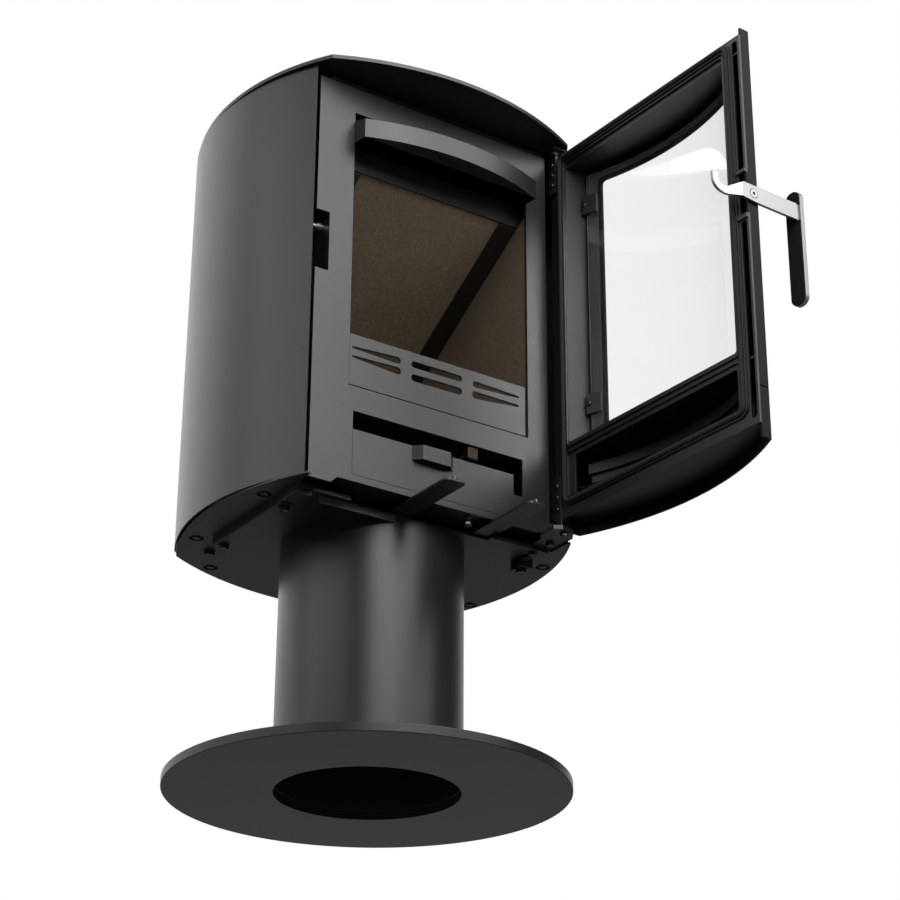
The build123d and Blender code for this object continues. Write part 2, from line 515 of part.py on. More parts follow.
# handle strip, bent out from the cover plate with oblique ends
GRIP_FACE_Y, GRIP_IN_Y = FRONT_Y - PAN_GRIP_REACH, FRONT_Y - PAN_GRIP_REACH + PAN_GRIP_T
WING, WING_T = PAN_GRIP_REACH, PAN_GRIP_T * sqrt(2)
with BuildPart() as ash_pan_handle:
    x0, x1 = PAN_GRIP_X0, PAN_GRIP_X1
    extrude(polygon(Plane.XY.offset(PAN_GRIP_Z), (x0, FRONT_Y), (x0 + WING, GRIP_FACE_Y),
                    (x1 - WING, GRIP_FACE_Y), (x1, FRONT_Y), (x1 - WING_T, FRONT_Y),
                    (x1 - WING_T - WING + PAN_GRIP_T, GRIP_IN_Y),
                    (x0 + WING_T + WING - PAN_GRIP_T, GRIP_IN_Y), (x0 + WING_T, FRONT_Y)),
            amount=PAN_FRONT_TOP - PAN_GRIP_Z)

# ---------------------------------------------------------------- air levers and valve
SLIDE_Y0, SLIDE_Y1, SLIDE_W, PORT_L, PORT_W = -22.0, 58.0, 60.0, 56.0, 12.0
TIP_HOLE_DX, TIP_HOLE_Y, TIP_HOLE_R = 9.3, -219.9, 1.6


def air_lever_plan(x, width):
    """Plan of an air lever: a bar with a rounded tip, and the slide plate with its port."""
    bar_end = SLIDE_Y0 + 10.0
    with BuildSketch(Plane.XY.offset(LEVER_BAR_Z)) as plan:
        with Locations((x, (LEVER_TIP_Y + bar_end) / 2)):
            RectangleRounded(width, bar_end - LEVER_TIP_Y, 7.0)
        with Locations((x, (SLIDE_Y0 + SLIDE_Y1) / 2)):
            Rectangle(SLIDE_W, SLIDE_Y1 - SLIDE_Y0)
            SlotOverall(PORT_L, PORT_W, rotation=90, mode=Mode.SUBTRACT)
        with Locations((x + TIP_HOLE_DX, TIP_HOLE_Y)):
            Circle(TIP_HOLE_R, mode=Mode.SUBTRACT)
    return plan.sketch


def push_pin(x):
    """Plan of the push pin near the tip of an air lever."""
    return discs(LEVER_BAR_Z + LEVER_BAR_T, PUSH_PIN_R, [(x + PUSH_PIN_DX, PUSH_PIN_Y)])


with BuildPart() as primary_air_lever:
    extrude(air_lever_plan(PRIMARY_X, PRIMARY_W), amount=LEVER_BAR_T)

with BuildPart() as secondary_air_lever:
    extrude(air_lever_plan(SECONDARY_X, SECONDARY_W), amount=LEVER_BAR_T)

with BuildPart() as primary_lever_pins:
    extrude(push_pin(PRIMARY_X), amount=PUSH_PIN_H)

with BuildPart() as secondary_lever_pins:
    extrude(push_pin(SECONDARY_X), amount=PUSH_PIN_H)

# fixed plate above the slides with the air ports, on four spacers
VALVE_Z, VALVE_T = LEVER_BAR_Z + LEVER_BAR_T + 0.3, 3.0
VALVE_SPACERS = ((-122.0, 80.0), (132.0, 80.0), (-122.0, -50.0), (32.0, -50.0))
with BuildPart() as air_valve_plate:
    slab(-130.0, 140.0, -62.0, 92.0, VALVE_Z, VALVE_Z + VALVE_T)
    with BuildSketch(Plane.XY.offset(VALVE_Z)):
        with Locations((PRIMARY_X, (SLIDE_Y0 + SLIDE_Y1) / 2), (SECONDARY_X, (SLIDE_Y0 + SLIDE_Y1) / 2)):
            SlotOverall(PORT_L, PORT_W, rotation=90)
    extrude(amount=VALVE_T, mode=Mode.SUBTRACT)
    for x, y in VALVE_SPACERS:
        slab(x - 6, x + 6, y - 8, y + 8, PLATE_TOP, VALVE_Z)

# bolt between the levers, with its nuts below and above the front plate's edge
GUIDE_BOLT = [(50.0, -142.0)]
with BuildPart() as lever_guide_bolt:
    extrude(hexagons(317.0, 5.8, GUIDE_BOLT), amount=4.5)
    extrude(discs(321.5, 3.0, GUIDE_BOLT), amount=FLOOR_Z - 321.5)
    extrude(hexagons(328.4, 5.8, GUIDE_BOLT), amount=3.6)

# ---------------------------------------------------------------- outer casing
with BuildPart() as jacket_right:
    extrude(bowed_strip(Plane.XY.offset(CASE_Z0), JACKET_FRONT, JACKET_SIDE, JACKET_BACK, SHEET),
            amount=CASE_Z1 - CASE_Z0)

LEFT_ARC = [(-x, y) for x, y in (JACKET_BACK, JACKET_SIDE, JACKET_FRONT)]
with BuildPart() as jacket_left:
    extrude(bowed_strip(Plane.XY.offset(CASE_Z0), *LEFT_ARC, SHEET), amount=CASE_Z1 - CASE_Z0)

# bowed back panel with rows of convection slots and a hole for a rear flue
BACK_ARC = (BACK_CORNER, (0.0, BACK_APEX_Y), (-BACK_CORNER[0], BACK_CORNER[1]))
BACK_CENTRE_Y = arc_centre(*BACK_ARC)[1]
BACK_R = BACK_APEX_Y - BACK_CENTRE_Y
BACK_SLOTS = [(x, z) for z in (352.0, 366.0, 858.0, 872.0) for x in (-96.0, -32.0, 32.0, 96.0)]


def back_y(x, radius):
    """Y at x of a circle about the back panel's centre."""
    return BACK_CENTRE_Y + sqrt(radius * radius - x * x)


with BuildPart() as back_panel:
    extrude(bowed_strip(Plane.XY.offset(CASE_Z0), *BACK_ARC, SHEET), amount=CASE_Z1 - CASE_Z0)
    with BuildSketch(back_plane(BACK_CORNER[1] - 10)):
        with Locations(*BACK_SLOTS):
            SlotOverall(48, 6)
        with Locations((0, REAR_FLUE_Z)):
            Circle(REAR_FLUE_R)
    extrude(amount=90, mode=Mode.SUBTRACT)

# bowed cover over the rear flue hole
COVER_R, COVER_T = REAR_FLUE_R + 12.0, 1.5
COVER_ARC = [(x, back_y(x, BACK_R + 0.05 + COVER_T)) for x in (90.0, 0.0, -90.0)]
with BuildPart() as rear_flue_cover:
    extrude(bowed_strip(Plane.XY.offset(REAR_FLUE_Z - 90), *COVER_ARC, COVER_T), amount=180.0)
    with BuildSketch(back_plane(BACK_CORNER[1])):
        with Locations((0, REAR_FLUE_Z)):
            Circle(COVER_R)
    extrude(amount=100, mode=Mode.INTERSECT)

# angles that carry the casing on the firebox
JACKET_CENTRE = arc_centre(JACKET_FRONT, JACKET_SIDE, JACKET_BACK)
JACKET_IN_R = hypot(JACKET_FRONT[0] - JACKET_CENTRE[0], JACKET_FRONT[1] - JACKET_CENTRE[1]) - SHEET
BRACKET_Z, BRACKET_T, BRACKET_HALF = (334.0, 872.0), 3.0, 12.0


def jacket_in_x(y):
    """Inner face of the right-hand jacket at y."""
    return JACKET_CENTRE[0] + sqrt(JACKET_IN_R ** 2 - (y - JACKET_CENTRE[1]) ** 2)


with BuildPart() as casing_brackets:
    for z in BRACKET_Z:
        for y in (-78.5, 91.0):
            reach = min(jacket_in_x(y - BRACKET_HALF), jacket_in_x(y + BRACKET_HALF)) - 0.05
            slab(BOX_X, reach, y - BRACKET_HALF, y + BRACKET_HALF, z, z + BRACKET_T)
            slab(-reach, -BOX_X, y - BRACKET_HALF, y + BRACKET_HALF, z, z + BRACKET_T)
        for x in (-120.0, 120.0):
            reach = back_y(abs(x) + BRACKET_HALF, BACK_R - SHEET) - 0.05
            slab(x - BRACKET_HALF, x + BRACKET_HALF, BOX_BACK, reach, z, z + BRACKET_T)

# ---------------------------------------------------------------- top plate and flue collar
with BuildPart() as top_plate:
    extrude(barrel(TOP_UNDER, TOP_FRONT, TOP_BACK, TOP_SIDE, TOP_FRONT_Y, TOP_BACK_Y), amount=TOP_T)
    chamfer(top_plate.faces().sort_by(Axis.Z)[-1].edges(), 0.8)
    extrude(discs(TOP_UNDER, FLUE_R + 3.0, [(0, FLUE_Y)]), amount=TOP_T, mode=Mode.SUBTRACT)

# flue collar, welded into the roof
COLLAR_Z0 = ROOF_Z - 10.0
with BuildPart() as flue_collar:
    extrude(discs(COLLAR_Z0, FLUE_R, [(0, FLUE_Y)]), amount=FLUE_Z1 - COLLAR_Z0)
    extrude(discs(COLLAR_Z0, FLUE_R - FLUE_WALL, [(0, FLUE_Y)]), amount=FLUE_Z1 - COLLAR_Z0,
            mode=Mode.SUBTRACT)

# ---------------------------------------------------------------- hinges and catch on the body
HINGE_AXIS = [(HINGE_X, HINGE_Y)]
with BuildPart() as upper_hinge_arm:
    extrude(polygon(Plane.XY.offset(BOX_Z1), (156, -100), (156, -150), (169, -174), (188, -174), (191, -150),
                    (186, -100)), amount=TOP_UNDER - BOX_Z1 - 0.2)

with BuildPart() as lower_hinge_plate:
    extrude(polygon(Plane.XY.offset(PLATE_TOP), (157, -88), (157, -150), (150, -158), (150, -186),
                    (160, -192), (180, -187), (189, -174), (189, -88)), amount=HINGE_PLATE_T)
    extrude(discs(PLATE_TOP, 3.2, HINGE_BOLTS), amount=HINGE_PLATE_T, mode=Mode.SUBTRACT)

with BuildPart() as hinge_pins:
    extrude(discs(UPPER_LUG[0] + 0.3, PIN_R, HINGE_AXIS), amount=BOX_Z1 - UPPER_LUG[0] - 0.3)
    extrude(discs(HINGE_PLATE_TOP, PIN_R, HINGE_AXIS), amount=LOWER_LUG[1] - 0.2 - HINGE_PLATE_TOP)

with BuildPart() as hinge_washer:
    with BuildSketch(Plane.XY.offset(HINGE_PLATE_TOP)):
        with Locations(*HINGE_AXIS):
            Circle(LUG_R + 0.2)
            Circle(PIN_R + 0.05, mode=Mode.SUBTRACT)
    extrude(amount=LOWER_LUG[0] - 0.1 - HINGE_PLATE_TOP)

with BuildPart() as catch_pin:
    with BuildSketch(side_plane(CATCH_END)):
        with Locations((CATCH_Y, CATCH_Z)):
            Circle(CATCH_R)
    extrude(amount=-BOX_X - CATCH_END)
    with BuildSketch(side_plane(CATCH_BOSS_END)):
        with Locations((CATCH_Y, CATCH_Z)):
            Circle(CATCH_BOSS_R)
    extrude(amount=-BOX_X - CATCH_BOSS_END)


# ---------------------------------------------------------------- door
def door_shell(z):
    """Plan section of the door's outer skin with its two returns, outer corners rounded."""
    with BuildSketch(door_level(z)) as shell:
        points = [(x, skin_y(x)) for x in (-SKIN_CORNER_X, 0.0, SKIN_HINGE_X)]
        add(bowed_strip(Plane.XY, *points, SKIN_T))
        for corner, x0 in ((-SKIN_CORNER_X, -SKIN_CORNER_X), (SKIN_HINGE_X, SKIN_HINGE_X - SKIN_T)):
            add(rectangle(Plane.XY, x0, x0 + SKIN_T, skin_y(corner), FRAME_FRONT))
            fillet(shell.vertices().sort_by_distance((corner, skin_y(corner)))[0], 2.5)
    return shell.sketch


with BuildPart() as door_skin:
    extrude(door_shell(DOOR_SPLIT + SPLIT_GAP), amount=DOOR_Z1 - DOOR_SPLIT - SPLIT_GAP)
    # seat of the handle's shaft, and its hole
    extrude(rectangle(door_level(LATCH_GAP_Z0 + 0.5), -SKIN_CORNER_X, SKIN_T - SKIN_CORNER_X,
                      FRAME_FRONT, FRAME_Y), amount=LATCH_GAP_Z1 - LATCH_GAP_Z0 - 1.0)
    with BuildSketch(door_side(-SKIN_CORNER_X - 5)):
        with Locations((-PIVOT_Y, PIVOT_Z)):
            Circle(PIVOT_R + PIN_FIT)
    extrude(amount=-12, mode=Mode.SUBTRACT)
    extrude(rectangle(door_face(-SKIN_HINGE_X), *DOOR_WINDOW, 6.0), amount=80, mode=Mode.SUBTRACT)
    # the return beside the upper hinge passes below its arm
    extrude(rectangle(door_level(RETURN_Z1), SKIN_HINGE_X - SKIN_T - 1, SKIN_HINGE_X + 1, RETURN_CUT_Y,
                      FRAME_FRONT + 1), amount=DOOR_Z1 - RETURN_Z1, mode=Mode.SUBTRACT)

with BuildPart() as door_skin_lower:
    extrude(door_shell(DOOR_Z0), amount=DOOR_SPLIT - DOOR_Z0)


def rib(x, z0, z1, radius):
    """Ring of the ribs' width whose middle runs along a rectangle between -x and x, z0 and z1."""
    half = RIB_W / 2
    with BuildSketch() as ring:
        add(rectangle(Plane.XY, -x - half, x + half, z0 - half, z1 + half, radius + half))
        add(rectangle(Plane.XY, half - x, x - half, z0 + half, z1 - half, radius - half), mode=Mode.SUBTRACT)
    return ring.sketch


# inner frame: window, air box opening, slots and latch gap, with the ribs round the rope and the openings
RIB_OUTSET, RIB_W, RIB_H, AIR_RIB_Z1, WINDOW_RIB_Z0 = 4.4, 2.0, 2.6, 437.5, 445.5
with BuildPart() as door_frame:
    with BuildSketch(door_face(FRAME_Y)):
        add(rectangle(Plane.XY, -SKIN_CORNER_X, SKIN_CORNER_X, FRAME_Z0, FRAME_Z1))
        for opening in (FRAME_WINDOW, FRAME_AIR_BOX, *FRAME_SLOTS):
            add(rectangle(Plane.XY, *opening, 4.0), mode=Mode.SUBTRACT)
        add(rectangle(Plane.XY, -SKIN_CORNER_X - 9, LATCH_GAP_X, LATCH_GAP_Z0, LATCH_GAP_Z1, 2.0),
            mode=Mode.SUBTRACT)
    extrude(amount=FRAME_T)
    with BuildSketch(door_face(FRAME_Y + RIB_H)):
        add(rib(ROPE_X + RIB_OUTSET, ROPE_Z0 - RIB_OUTSET, ROPE_Z1 + RIB_OUTSET, 12.0))
        add(rib(ROPE_X - RIB_OUTSET, WINDOW_RIB_Z0, ROPE_Z1 - RIB_OUTSET, 6.0))
        add(rib(ROPE_X - RIB_OUTSET, ROPE_Z0 + RIB_OUTSET, AIR_RIB_Z1, 6.0))
        for z0, z1 in ((622.0, 628.0), (686.0, 690.0)):
            add(rectangle(Plane.XY, 0.5 - SKIN_CORNER_X, -172.0, z0, z1))
    extrude(amount=RIB_H)

with BuildPart() as rope_seal:
    with BuildLine(door_face(FRAME_Y + ROPE_R + 0.05)) as rope_line:
        FilletPolyline((-ROPE_X, ROPE_Z0), (ROPE_X, ROPE_Z0), (ROPE_X, ROPE_Z1), (-ROPE_X, ROPE_Z1),
                       radius=9.0, close=True)
    ROPE_PATH = rope_line.wires()[0]
    with BuildSketch(Plane(origin=ROPE_PATH @ 0, z_dir=ROPE_PATH % 0)):
        Circle(ROPE_R)
    sweep(path=ROPE_PATH)


def door_lens(z):
    """Plan of a plate between the frame and the skin."""
    x0, x1, depth = SKIN_T - SKIN_CORNER_X, SKIN_HINGE_X - SKIN_T, SKIN_T + 0.05
    ends = [(x, skin_y(x, depth)) for x in (x0, (x0 + x1) / 2, x1)]
    with BuildSketch(door_level(z)) as lens:
        with BuildLine():
            ThreePointArc(*ends)
            Polyline(ends[2], (x1, FRAME_FRONT), (x0, FRAME_FRONT), ends[0])
        make_face()
    return lens.sketch


def door_wall(side, frame_x):
    """Plan of the wall beside the glass, from the frame's window edge to the skin."""
    skin_x, thick, depth = side * WALL_SKIN_X, side * DOOR_WALL_T, SKIN_T + 0.1
    return polygon(door_level(SHELVES_Z[1] + SHELF_T + WALL_GAP), (skin_x, skin_y(skin_x, depth)),
                   (skin_x + thick, skin_y(skin_x + thick, depth)), (frame_x + thick, FRAME_FRONT),
                   (frame_x, FRAME_FRONT))


# closing plates and shelves between frame and skin, the walls beside the glass, and the upper shelf's flange
WALL_GAP = 0.1
with BuildPart() as door_end_plates:
    for z in SHELVES_Z:
        extrude(door_lens(z), amount=SHELF_T)
    for side, frame_x in ((-1, FRAME_WINDOW[0]), (1, FRAME_WINDOW[1])):
        extrude(door_wall(side, frame_x), amount=SHELVES_Z[2] - SHELVES_Z[1] - SHELF_T - 2 * WALL_GAP)
    extrude(rectangle(door_level(SHELVES_Z[2] + SHELF_T + WALL_GAP), FRAME_WINDOW[0], FRAME_WINDOW[1],
                      FRAME_FRONT - DOOR_WALL_T, FRAME_FRONT),
            amount=FLANGE_TOP - SHELVES_Z[2] - SHELF_T - WALL_GAP)

# glazing: gasket against the skin, glass, clips
GLASS_DEPTH = SKIN_T + GASKET_T
CLIP_DEPTH = GLASS_DEPTH + GLASS_T + 0.05
GASKET_LAP = 5.0
with BuildPart() as glass_gasket:
    extrude(door_strip(GLASS_Z0, -GLASS_X, GLASS_X, SKIN_T + 0.05, GASKET_T - 0.1),
            amount=GLASS_Z1 - GLASS_Z0)
    x0, x1, z0, z1 = DOOR_WINDOW
    extrude(rectangle(door_face(-SKIN_HINGE_X), x0 - GASKET_LAP, x1 + GASKET_LAP, z0 - GASKET_LAP,
                      z1 + GASKET_LAP, 8.0), amount=80, mode=Mode.SUBTRACT)

with BuildPart() as door_glass:
    extrude(door_strip(GLASS_Z0, -GLASS_X, GLASS_X, GLASS_DEPTH, GLASS_T), amount=GLASS_Z1 - GLASS_Z0)

CLIP_FOOT_X = GLASS_X + 1.0
with BuildPart() as glass_clips:
    for z in CLIP_Z:
        for side in (-1, 1):
            tongue = sorted((side * CLIP_X0, side * CLIP_X1))
            foot = sorted((side * CLIP_FOOT_X, side * CLIP_X1))
            extrude(door_strip(z, *tongue, CLIP_DEPTH, CLIP_T), amount=CLIP_H)
            extrude(door_strip(z, *foot, SKIN_T + 0.05, CLIP_DEPTH - SKIN_T), amount=CLIP_H)

# stepped air guide behind the lower skin
GUIDE_X0, GUIDE_X1, GUIDE_T = -150.0, 146.0, 2.0
GUIDE_STEPS = ((SKIN_T + 0.05, 372.0, 396.0), (8.0, 396.0, 407.0), (13.0, 407.0, 421.0))   # depth, z0, z1
with BuildPart() as door_air_guide:
    for depth, z0, z1 in GUIDE_STEPS:
        extrude(door_strip(z0, GUIDE_X0, GUIDE_X1, depth, GUIDE_T), amount=z1 - z0)
    for (outer, _, z1), (inner, _, _) in zip(GUIDE_STEPS, GUIDE_STEPS[1:]):
        extrude(door_strip(z1, GUIDE_X0, GUIDE_X1, outer, inner - outer + GUIDE_T), amount=1.5)

# hinges on the door: two leaves behind the frame, each with a lug round its pin
LEAF_X0, LEAF_X1, LEAF_T, LEG_X0, LEG_X1 = 172.4, 188.0, 4.0, 173.0, 183.0
UPPER_LEAF, LOWER_LEAF = (829.0, UPPER_LUG[0]), (FRAME_Z0, 408.0)
with BuildPart() as door_hinges:
    with BuildSketch(door_face(FRAME_Y)):
        add(rectangle(Plane.XY, LEAF_X0, LEAF_X1, *UPPER_LEAF))
        add(rectangle(Plane.XY, LEAF_X0, LEAF_X1, *LOWER_LEAF))
        add(rectangle(Plane.XY, LEG_X0, LEG_X1, LOWER_LUG[1], LOWER_LEAF[0]))
    extrude(amount=-LEAF_T)
    for z0, z1 in (LOWER_LUG, UPPER_LUG):
        extrude(discs(z0, LUG_R, HINGE_AXIS), amount=z1 - z0)
        extrude(discs(z0, PIN_R + PIN_FIT, HINGE_AXIS), amount=z1 - z0, mode=Mode.SUBTRACT)

# screws of the hinges and the glass clips
HINGE_SCREW_X, HINGE_SCREW_Z = 180.5, (842.0, 858.0, 874.0, 364.0, 380.0, 396.0)
CLIP_SCREW_X = 145.5
with BuildPart() as door_screws:
    with BuildSketch(door_face(FRAME_Y + LEAF_T)):
        with Locations(*[(HINGE_SCREW_X, z) for z in HINGE_SCREW_Z]):
            Circle(3.6)
    extrude(amount=-2.0)
    for z in CLIP_Z:
        for x in (-CLIP_SCREW_X, CLIP_SCREW_X):
            with BuildSketch(door_inward(x, CLIP_DEPTH + CLIP_T + 0.05, z + CLIP_H / 2)):
                Circle(4.0)
            extrude(amount=3.0)

# ---------------------------------------------------------------- handle
# flat bar beside the door, whose end is bent behind the casing's edge
LEVER_OUT, LEVER_HOLE_R, TAPER_Y = LEVER_X - LEVER_T, 6.4, -175.0
HOOK_ROOT_Z0, HOOK_ROOT_Z1 = 646.8, 658.9
with BuildPart() as handle_lever:
    extrude(polygon(door_level(LEVER_Z0), (LEVER_OUT, LEVER_END_Y), (LEVER_X, LEVER_END_Y),
                    (HOOK_X, HOOK_ROOT_Y), (HOOK_X - HOOK_T, HOOK_ROOT_Y)), amount=LEVER_Z1 - LEVER_Z0)
    extrude(polygon(door_side(HOOK_X), (-LEVER_END_Y, LEVER_END_Z0), (-LEVER_END_Y, LEVER_END_Z1),
                    (-HOOK_ROOT_Y, HOOK_ROOT_Z1), (-HOOK_ROOT_Y, HOOK_ROOT_Z0)),
            amount=HOOK_X - LEVER_OUT, mode=Mode.INTERSECT)
    extrude(polygon(door_side(LEVER_X), (-LEVER_END_Y, LEVER_END_Z0), (-LEVER_END_Y, LEVER_END_Z1),
                    (2 - LEVER_END_Y, LEVER_Z1), (-GRIP_Y, LEVER_Z1), (-GRIP_Y, LEVER_Z0),
                    (-TAPER_Y, LEVER_Z0)), amount=LEVER_T)
    with BuildSketch(door_side(LEVER_X)):
        with Locations((-PIVOT_Y, PIVOT_Z)):
            Circle(LEVER_HOLE_R)
    extrude(amount=LEVER_T, mode=Mode.SUBTRACT)

with BuildPart() as handle_grip:
    extrude(rectangle(door_face(GRIP_Y), GRIP_X0, GRIP_X1, GRIP_Z0, GRIP_Z1, 11.0), amount=GRIP_T)
    fillet(handle_grip.faces().sort_by(Axis((0, 0, 0), turned(0, -1)))[-1].edges(), 1.0)

# insulating pad on the inside of the grip, cut out round the lever
with BuildPart() as grip_pad:
    with BuildSketch(door_face(GRIP_Y + PAD_T)):
        add(rectangle(Plane.XY, GRIP_X0 + 0.4, GRIP_X1 - 0.4, GRIP_Z0 + 0.4, GRIP_Z1 - 0.4, 10.6))
        add(rectangle(Plane.XY, GRIP_X0 - 1, LEVER_X + 0.2, LEVER_Z0 - 0.2, LEVER_Z1 + 0.2),
            mode=Mode.SUBTRACT)
    extrude(amount=PAD_T)

# shaft through the door's side, with a collar inside it and a socket head set into the lever
SHAFT_END_X, COLLAR_X, COLLAR_R, COLLAR_T = -181.0, -184.6, 7.0, 2.0
SHAFT_HEAD_R, HEAD_PROUD, SOCKET_DEPTH, WASHER_T = 5.6, 0.3, 1.8, 1.0
SHAFT_PLACE = (-PIVOT_Y, PIVOT_Z)
with BuildPart() as handle_shaft:
    for x, radius, length in ((SHAFT_END_X, PIVOT_R, SHAFT_END_X - LEVER_X),
                              (COLLAR_X + COLLAR_T, COLLAR_R, COLLAR_T),
                              (LEVER_X, LEVER_HOLE_R, WASHER_T),
                              (LEVER_X, SHAFT_HEAD_R, LEVER_T + HEAD_PROUD)):
        with BuildSketch(door_side(x)):
            with Locations(SHAFT_PLACE):
                Circle(radius)
        extrude(amount=length)
    with BuildSketch(door_side(LEVER_OUT - HEAD_PROUD)):
        with Locations(SHAFT_PLACE):
            RegularPolygon(2.6, 6)
    extrude(amount=-SOCKET_DEPTH, mode=Mode.SUBTRACT)

# latch hook: outer edge, tip, inner edge, as the shut door's -y and z
HOOK_OUTER = ((-HOOK_ROOT_Y, HOOK_ROOT_Z0), (130.9, 645.6), (124.4, 646.9), (118.0, 650.2), (114.1, 655.3),
              (112.4, 662.8), (112.8, 671.2))
HOOK_INNER = ((122.8, 671.2), (121.9, 666.0), (122.6, 661.5), (126.0, 657.6), (131.6, 656.0),
              (-HOOK_ROOT_Y, HOOK_ROOT_Z1))
with BuildPart() as latch_hook:
    with BuildSketch(door_side(HOOK_X)):
        with BuildLine():
            Spline(*HOOK_OUTER)
            Line(HOOK_OUTER[-1], HOOK_INNER[0])
            Spline(*HOOK_INNER)
            Line(HOOK_INNER[-1], HOOK_OUTER[0])
        make_face()
    extrude(amount=HOOK_T)

# ---------------------------------------------------------------- labels and files
PIECES = {
    "foot_disc": foot_disc,
    "pedestal_tube": pedestal_tube,
    "bottom_plate": bottom_plate,
    "inlet_strip": inlet_strip,
    "bottom_rails": bottom_rails,
    "underside_bolts": underside_bolts,
    "firebox_left": firebox_left,
    "firebox_right": firebox_right,
    "firebox_back": firebox_back,
    "firebox_floor": firebox_floor,
    "firebox_roof": firebox_roof,
    "front_plate": front_plate,
    "log_guard": log_guard,
    "air_wash_hood": air_wash_hood,
    "brick_left": brick_left,
    "brick_right": brick_right,
    "brick_back": brick_back,
    "baffle_plate": baffle_plate,
    "baffle_rails": baffle_rails,
    "grate_plate": grate_plate,
    "riddling_grate": riddling_grate,
    "riddling_rod": riddling_rod,
    "riddling_knob": riddling_knob,
    "ash_pan": ash_pan,
    "ash_pan_front": ash_pan_front,
    "ash_pan_handle": ash_pan_handle,
    "primary_air_lever": primary_air_lever,
    "secondary_air_lever": secondary_air_lever,
    "primary_lever_pins": primary_lever_pins,
    "secondary_lever_pins": secondary_lever_pins,
    "air_valve_plate": air_valve_plate,
    "lever_guide_bolt": lever_guide_bolt,
    "jacket_left": jacket_left,
    "jacket_right": jacket_right,
    "back_panel": back_panel,
    "rear_flue_cover": rear_flue_cover,
    "casing_brackets": casing_brackets,
    "top_plate": top_plate,
    "flue_collar": flue_collar,
    "upper_hinge_arm": upper_hinge_arm,
    "lower_hinge_plate": lower_hinge_plate,
    "hinge_pins": hinge_pins,
    "hinge_washer": hinge_washer,
    "catch_pin": catch_pin,
    "door_skin": door_skin,
    "door_skin_lower": door_skin_lower,
    "door_frame": door_frame,
    "rope_seal": rope_seal,
    "door_end_plates": door_end_plates,
    "door_glass": door_glass,
    "glass_gasket": glass_gasket,
    "glass_clips": glass_clips,
    "door_air_guide": door_air_guide,
    "door_hinges": door_hinges,
    "door_screws": door_screws,
    "handle_lever": handle_lever,
    "handle_grip": handle_grip,
    "grip_pad": grip_pad,
    "handle_shaft": handle_shaft,
    "latch_hook": latch_hook,
}
for name, piece in PIECES.items():
    piece.part.label = name
    export_step(piece.part, f"parts/{name}.step")
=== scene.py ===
"""Looks of a pedestal wood stove: finishes, seal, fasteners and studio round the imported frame.

Lengths are in metres unless a name ends in _mm or a class says millimetres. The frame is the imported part's
own: Z up, the fire opening faces -Y, and the door stands open.
"""
from __future__ import annotations

import json
import logging
import math
from dataclasses import dataclass, field
from enum import Enum
from typing import Any, Iterable, Protocol, Sequence

import bmesh
import bpy
from mathutils import Matrix, Vector

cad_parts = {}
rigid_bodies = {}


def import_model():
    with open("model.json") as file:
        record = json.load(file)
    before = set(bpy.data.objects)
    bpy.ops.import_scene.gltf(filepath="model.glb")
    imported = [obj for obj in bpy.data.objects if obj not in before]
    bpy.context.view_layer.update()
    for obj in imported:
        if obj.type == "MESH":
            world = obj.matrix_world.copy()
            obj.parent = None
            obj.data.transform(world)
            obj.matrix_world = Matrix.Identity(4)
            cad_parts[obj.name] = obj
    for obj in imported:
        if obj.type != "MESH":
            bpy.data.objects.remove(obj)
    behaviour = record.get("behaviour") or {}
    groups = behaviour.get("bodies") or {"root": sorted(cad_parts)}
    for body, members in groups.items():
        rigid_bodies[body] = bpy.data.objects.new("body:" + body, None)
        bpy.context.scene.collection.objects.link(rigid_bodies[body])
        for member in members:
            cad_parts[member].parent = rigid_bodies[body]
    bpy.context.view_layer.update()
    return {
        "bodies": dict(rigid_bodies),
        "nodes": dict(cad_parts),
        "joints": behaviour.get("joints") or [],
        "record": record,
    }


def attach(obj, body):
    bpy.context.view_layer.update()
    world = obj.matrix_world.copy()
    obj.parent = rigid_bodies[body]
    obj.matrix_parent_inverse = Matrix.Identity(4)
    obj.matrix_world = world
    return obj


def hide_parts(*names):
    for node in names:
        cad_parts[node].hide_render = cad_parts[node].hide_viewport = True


LOG = logging.getLogger("stove")
MM = 0.001


# ---------------------------------------------------------------- colours and nodes
def linear(hex_colour: str) -> tuple[float, float, float, float]:
    """Turns an sRGB hex colour into a linear one.

    Args:
        hex_colour: colour as "#rrggbb".

    Returns:
        Red, green, blue and an alpha of 1, linear.
    """
    parts = [int(hex_colour[k:k + 2], 16) / 255 for k in (1, 3, 5)]
    red, green, blue = (c / 12.92 if c <= 0.04045 else ((c + 0.055) / 1.055) ** 2.4 for c in parts)
    return red, green, blue, 1.0


def add_node(tree: bpy.types.NodeTree, kind: str, settings: dict[Any, Any] | None = None,
             links: dict[Any, tuple[bpy.types.Node, Any]] | None = None) -> bpy.types.Node:
    """Adds a node with its settings and links.

    Args:
        tree: node tree that takes the node.
        kind: the node's Blender type.
        settings: values by name; a name of an input sets that input, any other sets the node itself.
        links: by input name or number, the node and output that feed it.

    Returns:
        The new node.
    """
    node = tree.nodes.new(kind)
    for name, value in (settings or {}).items():
        if isinstance(name, int) or name in node.inputs:
            node.inputs[name].default_value = value
        else:
            setattr(node, name, value)
    for name, (source, output) in (links or {}).items():
        tree.links.new(source.outputs[output], node.inputs[name])
    return node


def new_material(name: str) -> tuple[bpy.types.Material, bpy.types.NodeTree]:
    """Starts a material with an empty node tree.

    Args:
        name: the material's name.

    Returns:
        The material and its tree.
    """
    material = bpy.data.materials.new(name)
    material.use_nodes = True
    material.node_tree.nodes.clear()
    return material, material.node_tree


def scaled(colour: Sequence[float], factor: float) -> list[float]:
    """Returns a linear colour made lighter or darker, with an alpha of 1."""
    return [c * factor for c in colour[:3]] + [1.0]


